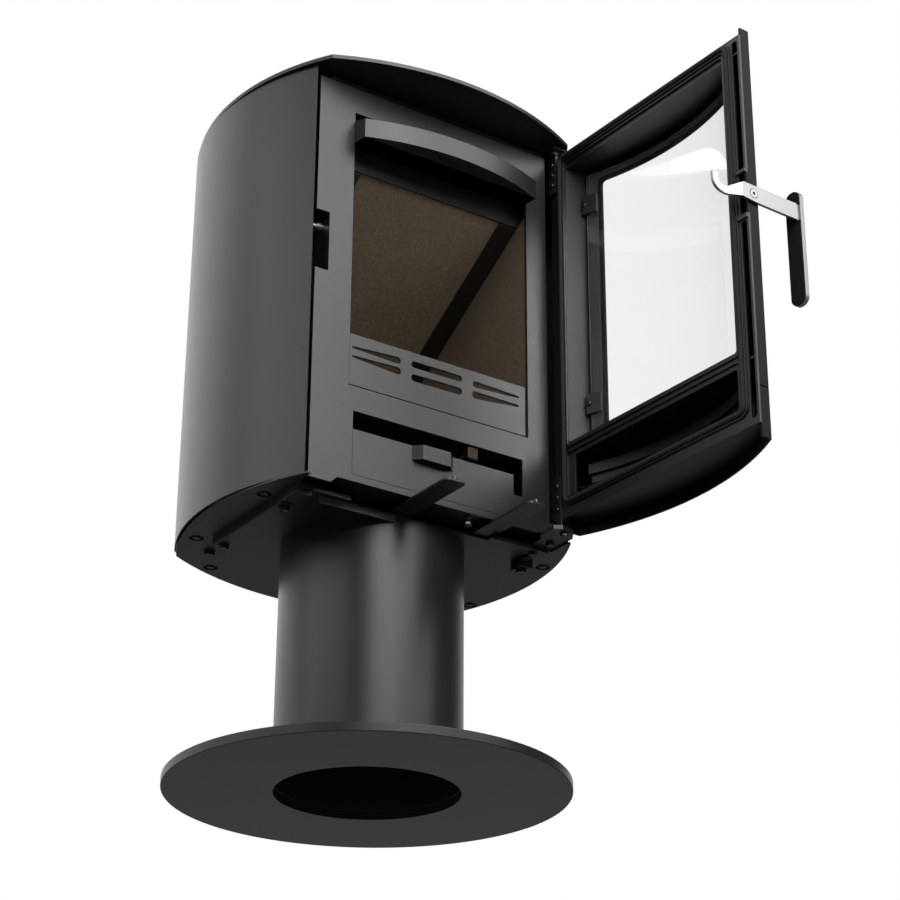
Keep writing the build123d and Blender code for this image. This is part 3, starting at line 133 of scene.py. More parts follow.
class Finish(Protocol):
    """A surface finish that can be put on a piece."""

    name: str

    def build(self) -> bpy.types.Material:
        """Makes the finish's material."""


def material_of(finish: Finish) -> bpy.types.Material:
    """Returns the finish's material, made on first use."""
    return bpy.data.materials.get(finish.name) or finish.build()


# ---------------------------------------------------------------- finishes
@dataclass(frozen=True)
class SprayedHeatPaint:
    """Silicone heat paint, sprayed on steel plate and stoved.

    It gives a satin black: nearly no colour of its own, a soft broad reflection of the room, a bright
    fall-off at grazing angles, and a faint orange peel from the spray.

    Attributes:
        name: material name.
        tone: colour of the pigment.
        roughness: mean roughness of the film.
        specular: specular level of the film.
        peel_mm: width of the orange peel, drawn several times its real 0.5 mm so that it shows.
        edge_mm: radius of the deburred plate edges.
        cloud_mm: width of the clouds where the film is a little thicker.
        unevenness: how far the clouds change the roughness.
        shading: how far the clouds change the colour.
    """

    name: str
    tone: str
    roughness: float
    specular: float = 0.5
    peel_mm: float = 3.0
    edge_mm: float = 0.6
    cloud_mm: float = 90.0
    unevenness: float = 0.02
    shading: float = 0.07

    def build(self) -> bpy.types.Material:
        """Makes the paint's material.

        Returns:
            The new material.
        """
        material, tree = new_material(self.name)
        place = add_node(tree, "ShaderNodeTexCoord")
        peel = add_node(tree, "ShaderNodeTexNoise", {"Scale": 1 / (self.peel_mm * MM), "Detail": 2.0},
                        {"Vector": (place, "Object")})
        cloud = add_node(tree, "ShaderNodeTexNoise", {
            "Scale": 1 / (self.cloud_mm * MM), "Detail": 3.0, "Roughness": 0.6},
            {"Vector": (place, "Object")})
        rough = add_node(tree, "ShaderNodeMapRange", {
            "To Min": self.roughness - self.unevenness, "To Max": self.roughness + self.unevenness},
            {"Value": (cloud, "Fac")})
        pigment = linear(self.tone)
        shade = add_node(tree, "ShaderNodeMix", {
            "data_type": "RGBA", 6: scaled(pigment, 1 - self.shading), 7: scaled(pigment, 1 + self.shading)},
            {0: (cloud, "Fac")})
        edge = add_node(tree, "ShaderNodeBevel", {"samples": 4, "Radius": self.edge_mm * MM})
        bump = add_node(tree, "ShaderNodeBump", {"Strength": 0.06, "Distance": 0.05 * MM},
                        {"Height": (peel, "Fac"), "Normal": (edge, "Normal")})
        surface = add_node(tree, "ShaderNodeBsdfPrincipled", {"Specular IOR Level": self.specular}, {
            "Base Color": (shade, 2), "Roughness": (rough, "Result"), "Normal": (bump, "Normal")})
        add_node(tree, "ShaderNodeOutputMaterial", links={"Surface": (surface, "BSDF")})
        return material


@dataclass(frozen=True)
class PressedVermiculite:
    """Vermiculite board, pressed from flakes of mica and binder.

    It gives a dry matt brown with fine flakes, some of them lighter, and a slightly pitted face.

    Attributes:
        name: material name.
        binder: colour between the flakes.
        flake: colour of the flakes.
        flake_mm: mean width of a flake.
        cloud_mm: width of the patches with more or fewer light flakes.
        pit_mm: depth of the pits between the flakes.
    """

    name: str
    binder: str
    flake: str
    flake_mm: float = 1.9
    cloud_mm: float = 30.0
    pit_mm: float = 0.5

    def build(self) -> bpy.types.Material:
        """Makes the board's material.

        Returns:
            The new material.
        """
        material, tree = new_material(self.name)
        place = add_node(tree, "ShaderNodeTexCoord")
        flakes = add_node(tree, "ShaderNodeTexVoronoi", {
            "Scale": 1 / (self.flake_mm * MM), "Randomness": 1.0}, {"Vector": (place, "Object")})
        tint = add_node(tree, "ShaderNodeSeparateColor", links={"Color": (flakes, "Color")})
        cloud = add_node(tree, "ShaderNodeTexNoise", {
            "Scale": 1 / (self.cloud_mm * MM), "Detail": 6.0, "Roughness": 0.7},
            {"Vector": (place, "Object")})
        both = add_node(tree, "ShaderNodeMath", {"operation": "MULTIPLY"},
                        {0: (tint, "Red"), 1: (cloud, "Fac")})
        colour = add_node(tree, "ShaderNodeMix", {
            "data_type": "RGBA", 6: linear(self.binder), 7: linear(self.flake)}, {0: (both, "Value")})
        bump = add_node(tree, "ShaderNodeBump", {"Strength": 0.35, "Distance": self.pit_mm * MM},
                        {"Height": (flakes, "Distance")})
        surface = add_node(tree, "ShaderNodeBsdfPrincipled", {"Roughness": 0.9, "Specular IOR Level": 0.3}, {
            "Base Color": (colour, 2), "Normal": (bump, "Normal")})
        add_node(tree, "ShaderNodeOutputMaterial", links={"Surface": (surface, "BSDF")})
        return material


class Grain(Enum):
    """Direction of a brushed grain, as the squeeze of the noise along X, Y and Z."""

    ALONG_Z = (1.0, 1.0, 0.02)
    ALONG_X = (0.02, 1.0, 1.0)


@dataclass(frozen=True)
class BrushedStainless:
    """Stainless steel bar, linished with a belt.

    It gives a bright warm-white metal whose reflections are drawn out across fine parallel scratches.

    Attributes:
        name: material name.
        tone: colour of the metal.
        grain: direction of the scratches.
        roughness: mean roughness.
        scratch_mm: spacing of the scratches, drawn coarser than the real 0.1 mm so that it shows.
        edge_mm: radius of the broken edges.
        smoother: how far the roughness falls between the scratches.
        rougher: how far it rises in them.
    """

    name: str
    tone: str
    grain: Grain
    roughness: float = 0.3
    scratch_mm: float = 0.5
    edge_mm: float = 0.5
    smoother: float = 0.05
    rougher: float = 0.06

    def build(self) -> bpy.types.Material:
        """Makes the metal's material.

        Returns:
            The new material.
        """
        material, tree = new_material(self.name)
        place = add_node(tree, "ShaderNodeTexCoord")
        squeezed = add_node(tree, "ShaderNodeVectorMath", {"operation": "MULTIPLY", 1: self.grain.value},
                            {0: (place, "Object")})
        lines = add_node(tree, "ShaderNodeTexNoise", {"Scale": 1 / (self.scratch_mm * MM), "Detail": 2.0},
                         {"Vector": (squeezed, "Vector")})
        rough = add_node(tree, "ShaderNodeMapRange", {
            "To Min": self.roughness - self.smoother, "To Max": self.roughness + self.rougher},
            {"Value": (lines, "Fac")})
        edge = add_node(tree, "ShaderNodeBevel", {"samples": 4, "Radius": self.edge_mm * MM})
        bump = add_node(tree, "ShaderNodeBump", {"Strength": 0.12, "Distance": 0.02 * MM},
                        {"Height": (lines, "Fac"), "Normal": (edge, "Normal")})
        surface = add_node(tree, "ShaderNodeBsdfPrincipled", {
            "Metallic": 1.0, "Base Color": linear(self.tone)}, {
            "Roughness": (rough, "Result"), "Normal": (bump, "Normal")})
        add_node(tree, "ShaderNodeOutputMaterial", links={"Surface": (surface, "BSDF")})
        return material


@dataclass(frozen=True)
class ZincPlate:
    """Zinc-plated steel, bright passivated.

    It gives fasteners a pale cool metal, a little cloudy from the passivation.

    Attributes:
        name: material name.
        tone: colour of the plating.
        roughness: mean roughness.
        cloud_mm: width of the passivation's clouds.
        unevenness: how far the clouds change the roughness.
    """

    name: str
    tone: str
    roughness: float
    cloud_mm: float = 4.0
    unevenness: float = 0.06

    def build(self) -> bpy.types.Material:
        """Makes the plating's material.

        Returns:
            The new material.
        """
        material, tree = new_material(self.name)
        place = add_node(tree, "ShaderNodeTexCoord")
        cloud = add_node(tree, "ShaderNodeTexNoise", {"Scale": 1 / (self.cloud_mm * MM), "Detail": 3.0},
                         {"Vector": (place, "Object")})
        rough = add_node(tree, "ShaderNodeMapRange", {
            "To Min": self.roughness - self.unevenness, "To Max": self.roughness + self.unevenness},
            {"Value": (cloud, "Fac")})
        surface = add_node(tree, "ShaderNodeBsdfPrincipled", {
            "Metallic": 1.0, "Base Color": linear(self.tone)}, {"Roughness": (rough, "Result")})
        add_node(tree, "ShaderNodeOutputMaterial", links={"Surface": (surface, "BSDF")})
        return material


@dataclass(frozen=True)
class GlassCeramic:
    """Clear glass ceramic pane, fire polished, with ground edges.

    It gives a clear pane with a faint grey cast and a soft mirror at grazing angles, and dull dark edges.
    Light passes it without a dark shadow.

    Attributes:
        name: material name.
        tone: colour that the pane lets through.
        edge_tone: colour of the ground edges.
        roughness: roughness of its polish.
        edge_below: share of the pane's outward direction in a normal, below which the face is an edge.
        edge_roughness: roughness of the ground edges.
        grind_mm: grain of the ground edges, drawn coarser than the real 0.1 mm so that it shows.
    """

    name: str
    tone: str
    edge_tone: str
    roughness: float = 0.0
    edge_below: float = 0.7
    edge_roughness: float = 0.6
    grind_mm: float = 1.0

    def build(self) -> bpy.types.Material:
        """Makes the pane's material.

        Returns:
            The new material.
        """
        material, tree = new_material(self.name)
        path = add_node(tree, "ShaderNodeLightPath")
        pane = add_node(tree, "ShaderNodeBsdfPrincipled", {
            "Base Color": linear(self.tone), "Roughness": self.roughness, "IOR": 1.52,
            "Transmission Weight": 1.0})
        clear = add_node(tree, "ShaderNodeBsdfTransparent", {"Color": linear(self.tone)})
        polished = add_node(tree, "ShaderNodeMixShader", links={
            0: (path, "Is Shadow Ray"), 1: (pane, "BSDF"), 2: (clear, "BSDF")})
        side = add_node(tree, "ShaderNodeNewGeometry")
        own = add_node(tree, "ShaderNodeVectorTransform", {
            "vector_type": "NORMAL", "convert_from": "WORLD", "convert_to": "OBJECT"},
            {0: (side, "True Normal")})
        axes = add_node(tree, "ShaderNodeSeparateXYZ", links={"Vector": (own, "Vector")})
        outward = add_node(tree, "ShaderNodeMath", {"operation": "ABSOLUTE"}, {0: (axes, "X")})
        is_edge = add_node(tree, "ShaderNodeMath", {"operation": "LESS_THAN", 1: self.edge_below},
                           {0: (outward, "Value")})
        grind = add_node(tree, "ShaderNodeTexNoise", {"Scale": 1 / (self.grind_mm * MM), "Detail": 2.0})
        bump = add_node(tree, "ShaderNodeBump", {"Strength": 0.2, "Distance": 0.1 * MM},
                        {"Height": (grind, "Fac")})
        ground = add_node(tree, "ShaderNodeBsdfPrincipled", {
            "Base Color": linear(self.edge_tone), "Roughness": self.edge_roughness},
            {"Normal": (bump, "Normal")})
        mixed = add_node(tree, "ShaderNodeMixShader", links={
            0: (is_edge, "Value"), 1: (polished, "Shader"), 2: (ground, "BSDF")})
        add_node(tree, "ShaderNodeOutputMaterial", links={"Surface": (mixed, "Shader")})
        return material


@dataclass(frozen=True)
class GraphitedFibre:
    """Glass-fibre yarn, knitted and graphited.

    It gives a soft dark grey with no gloss, with painted shade in the hollows between the fibres and a
    painted highlight on their crests.

    Attributes:
        name: material name.
        tone: colour of the yarn.
        fibre_mm: spacing of the visible fibres, drawn coarser than the real 0.1 mm so that it shows.
        hollow: how bright the tone is between the fibres, as painted shade.
        crest: how bright it is on the fibres' crests, as a painted highlight.
    """

    name: str
    tone: str
    fibre_mm: float = 0.7
    hollow: float = 0.6
    crest: float = 1.6

    def build(self) -> bpy.types.Material:
        """Makes the yarn's material.

        Returns:
            The new material.
        """
        material, tree = new_material(self.name)
        place = add_node(tree, "ShaderNodeTexCoord")
        fuzz = add_node(tree, "ShaderNodeTexNoise", {"Scale": 1 / (self.fibre_mm * MM), "Detail": 4.0},
                        {"Vector": (place, "Object")})
        tone = linear(self.tone)
        # painted shade and highlight: the tone is darker in the hollows and lighter on the crests, following
        # the same noise as the bump
        colour = add_node(tree, "ShaderNodeMix", {
            "data_type": "RGBA", 6: scaled(tone, self.hollow), 7: scaled(tone, self.crest)},
            {0: (fuzz, "Fac")})
        bump = add_node(tree, "ShaderNodeBump", {"Strength": 0.5, "Distance": 0.3 * MM},
                        {"Height": (fuzz, "Fac")})
        surface = add_node(tree, "ShaderNodeBsdfPrincipled", {
            "Roughness": 0.95, "Specular IOR Level": 0.15}, {
            "Base Color": (colour, 2), "Normal": (bump, "Normal")})
        add_node(tree, "ShaderNodeOutputMaterial", links={"Surface": (surface, "BSDF")})
        return material


@dataclass(frozen=True)
class SandCastIron:
    """Grey cast iron as it leaves the sand mould.

    It gives a dark matt grey with the coarse skin of the sand.

    Attributes:
        name: material name.
        tone: colour of the skin.
        sand_mm: grain of the moulding sand, drawn coarser than the real 0.3 mm so that it shows.
        roughness: mean roughness.
        smoother: how far the roughness falls on the grains.
        rougher: how far it rises between them.
    """

    name: str
    tone: str
    sand_mm: float = 1.2
    roughness: float = 0.7
    smoother: float = 0.1
    rougher: float = 0.15

    def build(self) -> bpy.types.Material:
        """Makes the casting's material.

        Returns:
            The new material.
        """
        material, tree = new_material(self.name)
        place = add_node(tree, "ShaderNodeTexCoord")
        sand = add_node(tree, "ShaderNodeTexNoise", {"Scale": 1 / (self.sand_mm * MM), "Detail": 5.0},
                        {"Vector": (place, "Object")})
        rough = add_node(tree, "ShaderNodeMapRange", {
            "To Min": self.roughness - self.smoother, "To Max": self.roughness + self.rougher},
            {"Value": (sand, "Fac")})
        bump = add_node(tree, "ShaderNodeBump", {"Strength": 0.4, "Distance": 0.3 * MM},
                        {"Height": (sand, "Fac")})
        surface = add_node(tree, "ShaderNodeBsdfPrincipled", {"Base Color": linear(self.tone)}, {
            "Roughness": (rough, "Result"), "Normal": (bump, "Normal")})
        add_node(tree, "ShaderNodeOutputMaterial", links={"Surface": (surface, "BSDF")})
        return material


CASING_PAINT = SprayedHeatPaint("heat_paint_sprayed_satin", "#1d1d1d", 0.36)
CHASSIS_PAINT = SprayedHeatPaint("heat_paint_sprayed_matt", "#1b1b1b", 0.42)
DOOR_PAINT = SprayedHeatPaint("heat_paint_sprayed_door", "#1a1a1a", 0.4)
SKIN_PAINT = SprayedHeatPaint("heat_paint_sprayed_skin", "#0d0d0d", 0.48, 0.12)
# painted light: a lighter grey than the other paint, which stands in for light falling on the inlet strip
LIT_STRIP_PAINT = SprayedHeatPaint("heat_paint_painted_light", "#474747", 0.4)
LINING = PressedVermiculite("vermiculite_board_pressed", "#706250", "#988872")
# painted shade: a darker copy of the vermiculite board, which stands in for shade on the right-hand brick
SHADED_LINING = PressedVermiculite("vermiculite_board_painted_shade", "#594e3f", "#7a6c5a")
STAINLESS_UPRIGHT = BrushedStainless("stainless_linished_upright", "#8c8c8c", Grain.ALONG_Z, 0.5)
STAINLESS_LEVEL = BrushedStainless("stainless_linished_level", "#a1a1a1", Grain.ALONG_X, 0.42)
STAINLESS_LEVER = BrushedStainless("stainless_linished_lever", "#949494", Grain.ALONG_X, 0.44)
HEAT_TINTED = ZincPlate("steel_heat_tinted", "#352d24", 0.5)
ZINC = ZincPlate("steel_zinc_plated", "#c4c4c0", 0.34)
DARK_ZINC = ZincPlate("steel_blackened", "#4a4a4a", 0.4)
PANE = GlassCeramic("glass_ceramic_polished", "#fbfbfa", "#2c2d2c")
ROPE_YARN = GraphitedFibre("glass_fibre_knitted", "#2c2c2c")
PAD_FIBRE = GraphitedFibre("fibre_pad_pressed", "#1d1d1d")
CASTING = SandCastIron("cast_iron_sand_cast", "#2e2d2c")


# ---------------------------------------------------------------- pieces
def dress(frame: dict[str, Any], finish: Finish, nodes: Iterable[str]) -> None:
    """Puts a finish on CAD nodes.

    Args:
        frame: the loaded frame.
        finish: finish to put on.
        nodes: names of the CAD nodes.
    """
    for name in nodes:
        piece = frame["nodes"][name]
        piece.data.materials.clear()
        piece.data.materials.append(material_of(finish))
        LOG.info("%s: %s", name, finish.name)


def place_piece(name: str, mesh: bpy.types.Mesh, finish: Finish, body: str,
                replaces: Sequence[str] = ()) -> bpy.types.Object:
    """Links a mesh as a piece that rides on a body.

    Args:
        name: the piece's name.
        mesh: its mesh, in the row frame.
        finish: its finish.
        body: CAD body that it rides on.
        replaces: CAD nodes that it stands for.

    Returns:
        The new object.
    """
    piece = bpy.data.objects.new(name, mesh)
    bpy.context.scene.collection.objects.link(piece)
    mesh.materials.append(material_of(finish))
    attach(piece, body)
    if replaces:
        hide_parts(*replaces)
    LOG.info("%s: %d faces, %s", name, len(mesh.polygons), finish.name)
    return piece


class Outline(Enum):
    """Outline of a ring of a turned or hexagonal form."""

    ROUND = 0
    HEX = 1


@dataclass(frozen=True)
class Ring:
    """One ring of a form built up along its axis.

    Attributes:
        height: place along the axis.
        radius: radius, across the corners where the outline is a hexagon.
        outline: round or hexagonal.
    """

    height: float
    radius: float
    outline: Outline = Outline.ROUND


RING_POINTS = 24  # points round a ring, so that each corner of a hexagon falls on one
HEX_HALF = math.pi / 6  # angle from the middle of a hexagon's side to its corner


def ring_radius(ring: Ring, angle: float) -> float:
    """Finds how far a ring's outline is from its axis.

    Args:
        ring: the ring.
        angle: direction round the axis, in radians, from the middle of a hexagon's side.

    Returns:
        The distance, in metres.
    """
    if ring.outline is Outline.ROUND:
        return ring.radius
    from_middle = (angle + HEX_HALF) % (2 * HEX_HALF) - HEX_HALF
    return ring.radius * math.cos(HEX_HALF) / math.cos(from_middle)


def add_form(mesh: bmesh.types.BMesh, rings: Sequence[Ring], at: Matrix) -> None:
    """Adds a closed form of stacked rings.

    Args:
        mesh: mesh that takes the form.
        rings: rings from one end to the other.
        at: turns the form's own Z and origin into the row frame.
    """
    angles = [2 * math.pi * k / RING_POINTS for k in range(RING_POINTS)]
    rows = [[mesh.verts.new(at @ Vector((ring_radius(r, a) * math.cos(a), ring_radius(r, a) * math.sin(a),
                                         r.height))) for a in angles] for r in rings]
    for low, high in zip(rows, rows[1:]):
        for k in range(RING_POINTS):
            nxt = (k + 1) % RING_POINTS
            mesh.faces.new((low[k], low[nxt], high[nxt], high[k]))
    mesh.faces.new(rows[0][::-1])
    mesh.faces.new(rows[-1])


def finish_mesh(name: str, mesh: bmesh.types.BMesh, sharp_degrees: float = 35.0) -> bpy.types.Mesh:
    """Turns a bmesh into a mesh with outward faces, smooth apart from its sharp edges.

    Args:
        name: name of the new mesh.
        mesh: the bmesh, which is freed.
        sharp_degrees: angle between two faces from which their edge is sharp.

    Returns:
        The new mesh.
    """
    bmesh.ops.recalc_face_normals(mesh, faces=mesh.faces)
    data = bpy.data.meshes.new(name)
    mesh.to_mesh(data)
    mesh.free()
    data.shade_smooth()
    data.set_sharp_from_angle(angle=math.radians(sharp_degrees))
    return data


def looking(origin: Sequence[float], direction: Sequence[float]) -> Matrix:
    """Matrix that puts a form's origin at a place and its Z along a direction."""
    turn = Vector(direction).to_track_quat("Z", "Y").to_matrix().to_4x4()
    return Matrix.Translation(Vector(origin)) @ turn


@dataclass
class OpenDoorFrame:
    """Places and directions of the open door, from those of the shut door.

    Attributes:
        hinge: the hinge axis in plan.
        degrees: how far the door stands open.
    """

    hinge: tuple[float, float] = (0.178, -0.162)
    degrees: float = 92.0

    def matrix(self) -> Matrix:
        """Matrix from the shut door to the open door."""
        to_hinge = Matrix.Translation((self.hinge[0], self.hinge[1], 0))
        return to_hinge @ Matrix.Rotation(math.radians(self.degrees), 4, "Z") @ to_hinge.inverted()

    def place(self, x_mm: float, y_mm: float, z_mm: float) -> Vector:
        """Place in the open door of a point of the shut door, in metres."""
        return self.matrix() @ Vector((x_mm * MM, y_mm * MM, z_mm * MM))

    def direction(self, x: float, y: float, z: float) -> Vector:
        """Direction in the open door of a direction in the shut door."""
        return self.matrix().to_3x3() @ Vector((x, y, z))


# ---------------------------------------------------------------- sub-assemblies
@dataclass
class RopeSeal:
    """Knitted rope in the door frame's channel, in the shut door's millimetres.

    Attributes:
        half_width_mm: half the width of the rope's line.
        bottom_mm: lowest height of the line.
        top_mm: highest height of the line.
        depth_mm: y of the line.
        radius_mm: radius of the rope.
        corner_mm: radius of the line's corners.
        stitch_mm: length of a stitch of the knit.
        stitches: stitches round the rope.
        knit_depth: how far the hollows lie below the stitches, as a share of the radius.
        sides: points round the rope.
        step_mm: distance between its rings along the straight runs.
        step_degrees: turn between its rings round the corners.
        door: the open door.
    """

    half_width_mm: float = 165.5
    bottom_mm: float = 369.0
    top_mm: float = 877.0
    depth_mm: float = -160.75
    radius_mm: float = 3.2
    corner_mm: float = 9.0
    stitch_mm: float = 5.0
    stitches: int = 4
    knit_depth: float = 0.14
    sides: int = 20
    step_mm: float = 1.1
    step_degrees: int = 10
    door: OpenDoorFrame = field(default_factory=OpenDoorFrame)

    def line(self) -> list[tuple[float, float, float, float]]:
        """Points of the rope's line with their tangents.

        Returns:
            x, z, tangent x and tangent z of each point, about a millimetre apart.
        """
        points: list[tuple[float, float, float, float]] = []
        w, r = self.half_width_mm, self.corner_mm
        # x and z of each corner's centre, and the degrees at which the line enters its arc
        corners = ((w - r, self.bottom_mm + r, -90), (w - r, self.top_mm - r, 0),
                   (r - w, self.top_mm - r, 90), (r - w, self.bottom_mm + r, 180))
        for (cx, cz, start), (nx, nz, _) in zip(corners, corners[1:] + corners[:1]):
            for turn in range(start, start + 90, self.step_degrees):
                a = math.radians(turn)
                points.append((cx + r * math.cos(a), cz + r * math.sin(a), -math.sin(a), math.cos(a)))
            a = math.radians(start + 90)
            x0, z0 = cx + r * math.cos(a), cz + r * math.sin(a)
            x1, z1 = nx + r * math.cos(a), nz + r * math.sin(a)
            steps = int(math.hypot(x1 - x0, z1 - z0) / self.step_mm)
            points += [(x0 + (x1 - x0) * k / steps, z0 + (z1 - z0) * k / steps, -math.sin(a), math.cos(a))
                       for k in range(steps)]
        return points

    def stitched_radius(self, along: float, angle: float) -> float:
        """Finds the radius of the rope, on which two families of stitches cross.

        Args:
            along: distance along the line, in millimetres.
            angle: direction round it, in radians.

        Returns:
            The radius, in millimetres.
        """
        turn, lean = 2 * math.pi * along / self.stitch_mm, self.stitches * angle
        knit = max(abs(math.cos((turn + lean) / 2)), abs(math.cos((turn - lean) / 2)))
        return self.radius_mm * (1 - self.knit_depth + self.knit_depth * knit)

    def build(self) -> None:
        """Makes the rope."""
        mesh = bmesh.new()
        along, rows, last = 0.0, [], None
        for x, z, tx, tz in self.line():
            along += math.hypot(x - last[0], z - last[1]) if last else 0.0
            last = (x, z)
            row = []
            for k in range(self.sides):
                a = 2 * math.pi * k / self.sides
                r = self.stitched_radius(along, a)
                out, up = r * math.cos(a), r * math.sin(a)
                row.append(mesh.verts.new(self.door.place(x + tz * out, self.depth_mm + up, z - tx * out)))
            rows.append(row)
        for low, high in zip(rows, rows[1:] + rows[:1]):
            for k in range(self.sides):
                nxt = (k + 1) % self.sides
                mesh.faces.new((low[k], low[nxt], high[nxt], high[k]))
        place_piece("knitted_rope", finish_mesh("knitted_rope", mesh, 80), ROPE_YARN, "door",
                    ["rope_seal"])


@dataclass(frozen=True)
class Head:
    """Size of a chamfered hexagon head or nut, in millimetres.

    Attributes:
        height: height, with the washer where it has one.
        corner: radius across the corners.
        washer: radius of the washer, against that of the corners.
        foot: radius of its foot, against that of the flats.
        crown: radius of its top, against that of the flats.
        dish: radius of the dish in its top, against that of the flats.
        foot_chamfer: height of the chamfer at its foot.
        crown_chamfer: height of the chamfer at its top.
        dish_depth: depth of the dish.
    """

    height: float
    corner: float
    washer: float = 1.18
    foot: float = 0.94
    crown: float = 0.9
    dish: float = 0.62
    foot_chamfer: float = 0.3
    crown_chamfer: float = 0.7
    dish_depth: float = 0.4

    def rings(self, base: float, washer_height: float = 0.0) -> list[Ring]:
        """Rings of the head, on its washer where it has one.

        Args:
            base: height of the face that it sits on.
            washer_height: thickness of the washer.

        Returns:
            The rings, in metres.
        """
        rings = []
        if washer_height:
            wide = self.corner * self.washer * MM
            rings = [Ring(base * MM, wide), Ring((base + washer_height) * MM, wide)]
        low, high = (base + washer_height) * MM, (base + self.height) * MM
        corner, flat = self.corner * MM, self.corner * math.cos(HEX_HALF)
        return rings + [Ring(low, flat * self.foot * MM),
                        Ring(low + self.foot_chamfer * MM, corner, Outline.HEX),
                        Ring(high - self.crown_chamfer * MM, corner, Outline.HEX),
                        Ring(high, flat * self.crown * MM),
                        Ring(high - self.dish_depth * MM, flat * self.dish * MM)]


@dataclass(frozen=True)
class Button:
    """Size of a domed screw head with a hexagon socket, in millimetres.

    Attributes:
        height: height of the dome.
        radius: radius of the head.
        socket: radius across the socket's corners.
        dome: points up the dome, as shares of the height and of the radius.
        socket_floor: where the socket ends, as a share of the height.
    """

    height: float
    radius: float
    socket: float
    dome: tuple[tuple[float, float], ...] = ((0.0, 1.0), (0.35, 0.97), (0.7, 0.84), (0.93, 0.66), (1.0, 0.5))
    socket_floor: float = 0.35

    def rings(self) -> list[Ring]:
        """Rings of the head, from its base over the dome and down into the socket.

        Returns:
            The rings, in metres.
        """
        rings = [Ring(h * self.height * MM, r * self.radius * MM) for h, r in self.dome]
        return rings + [Ring(self.height * MM, self.socket * MM, Outline.HEX),
                        Ring(self.height * self.socket_floor * MM, self.socket * MM, Outline.HEX)]


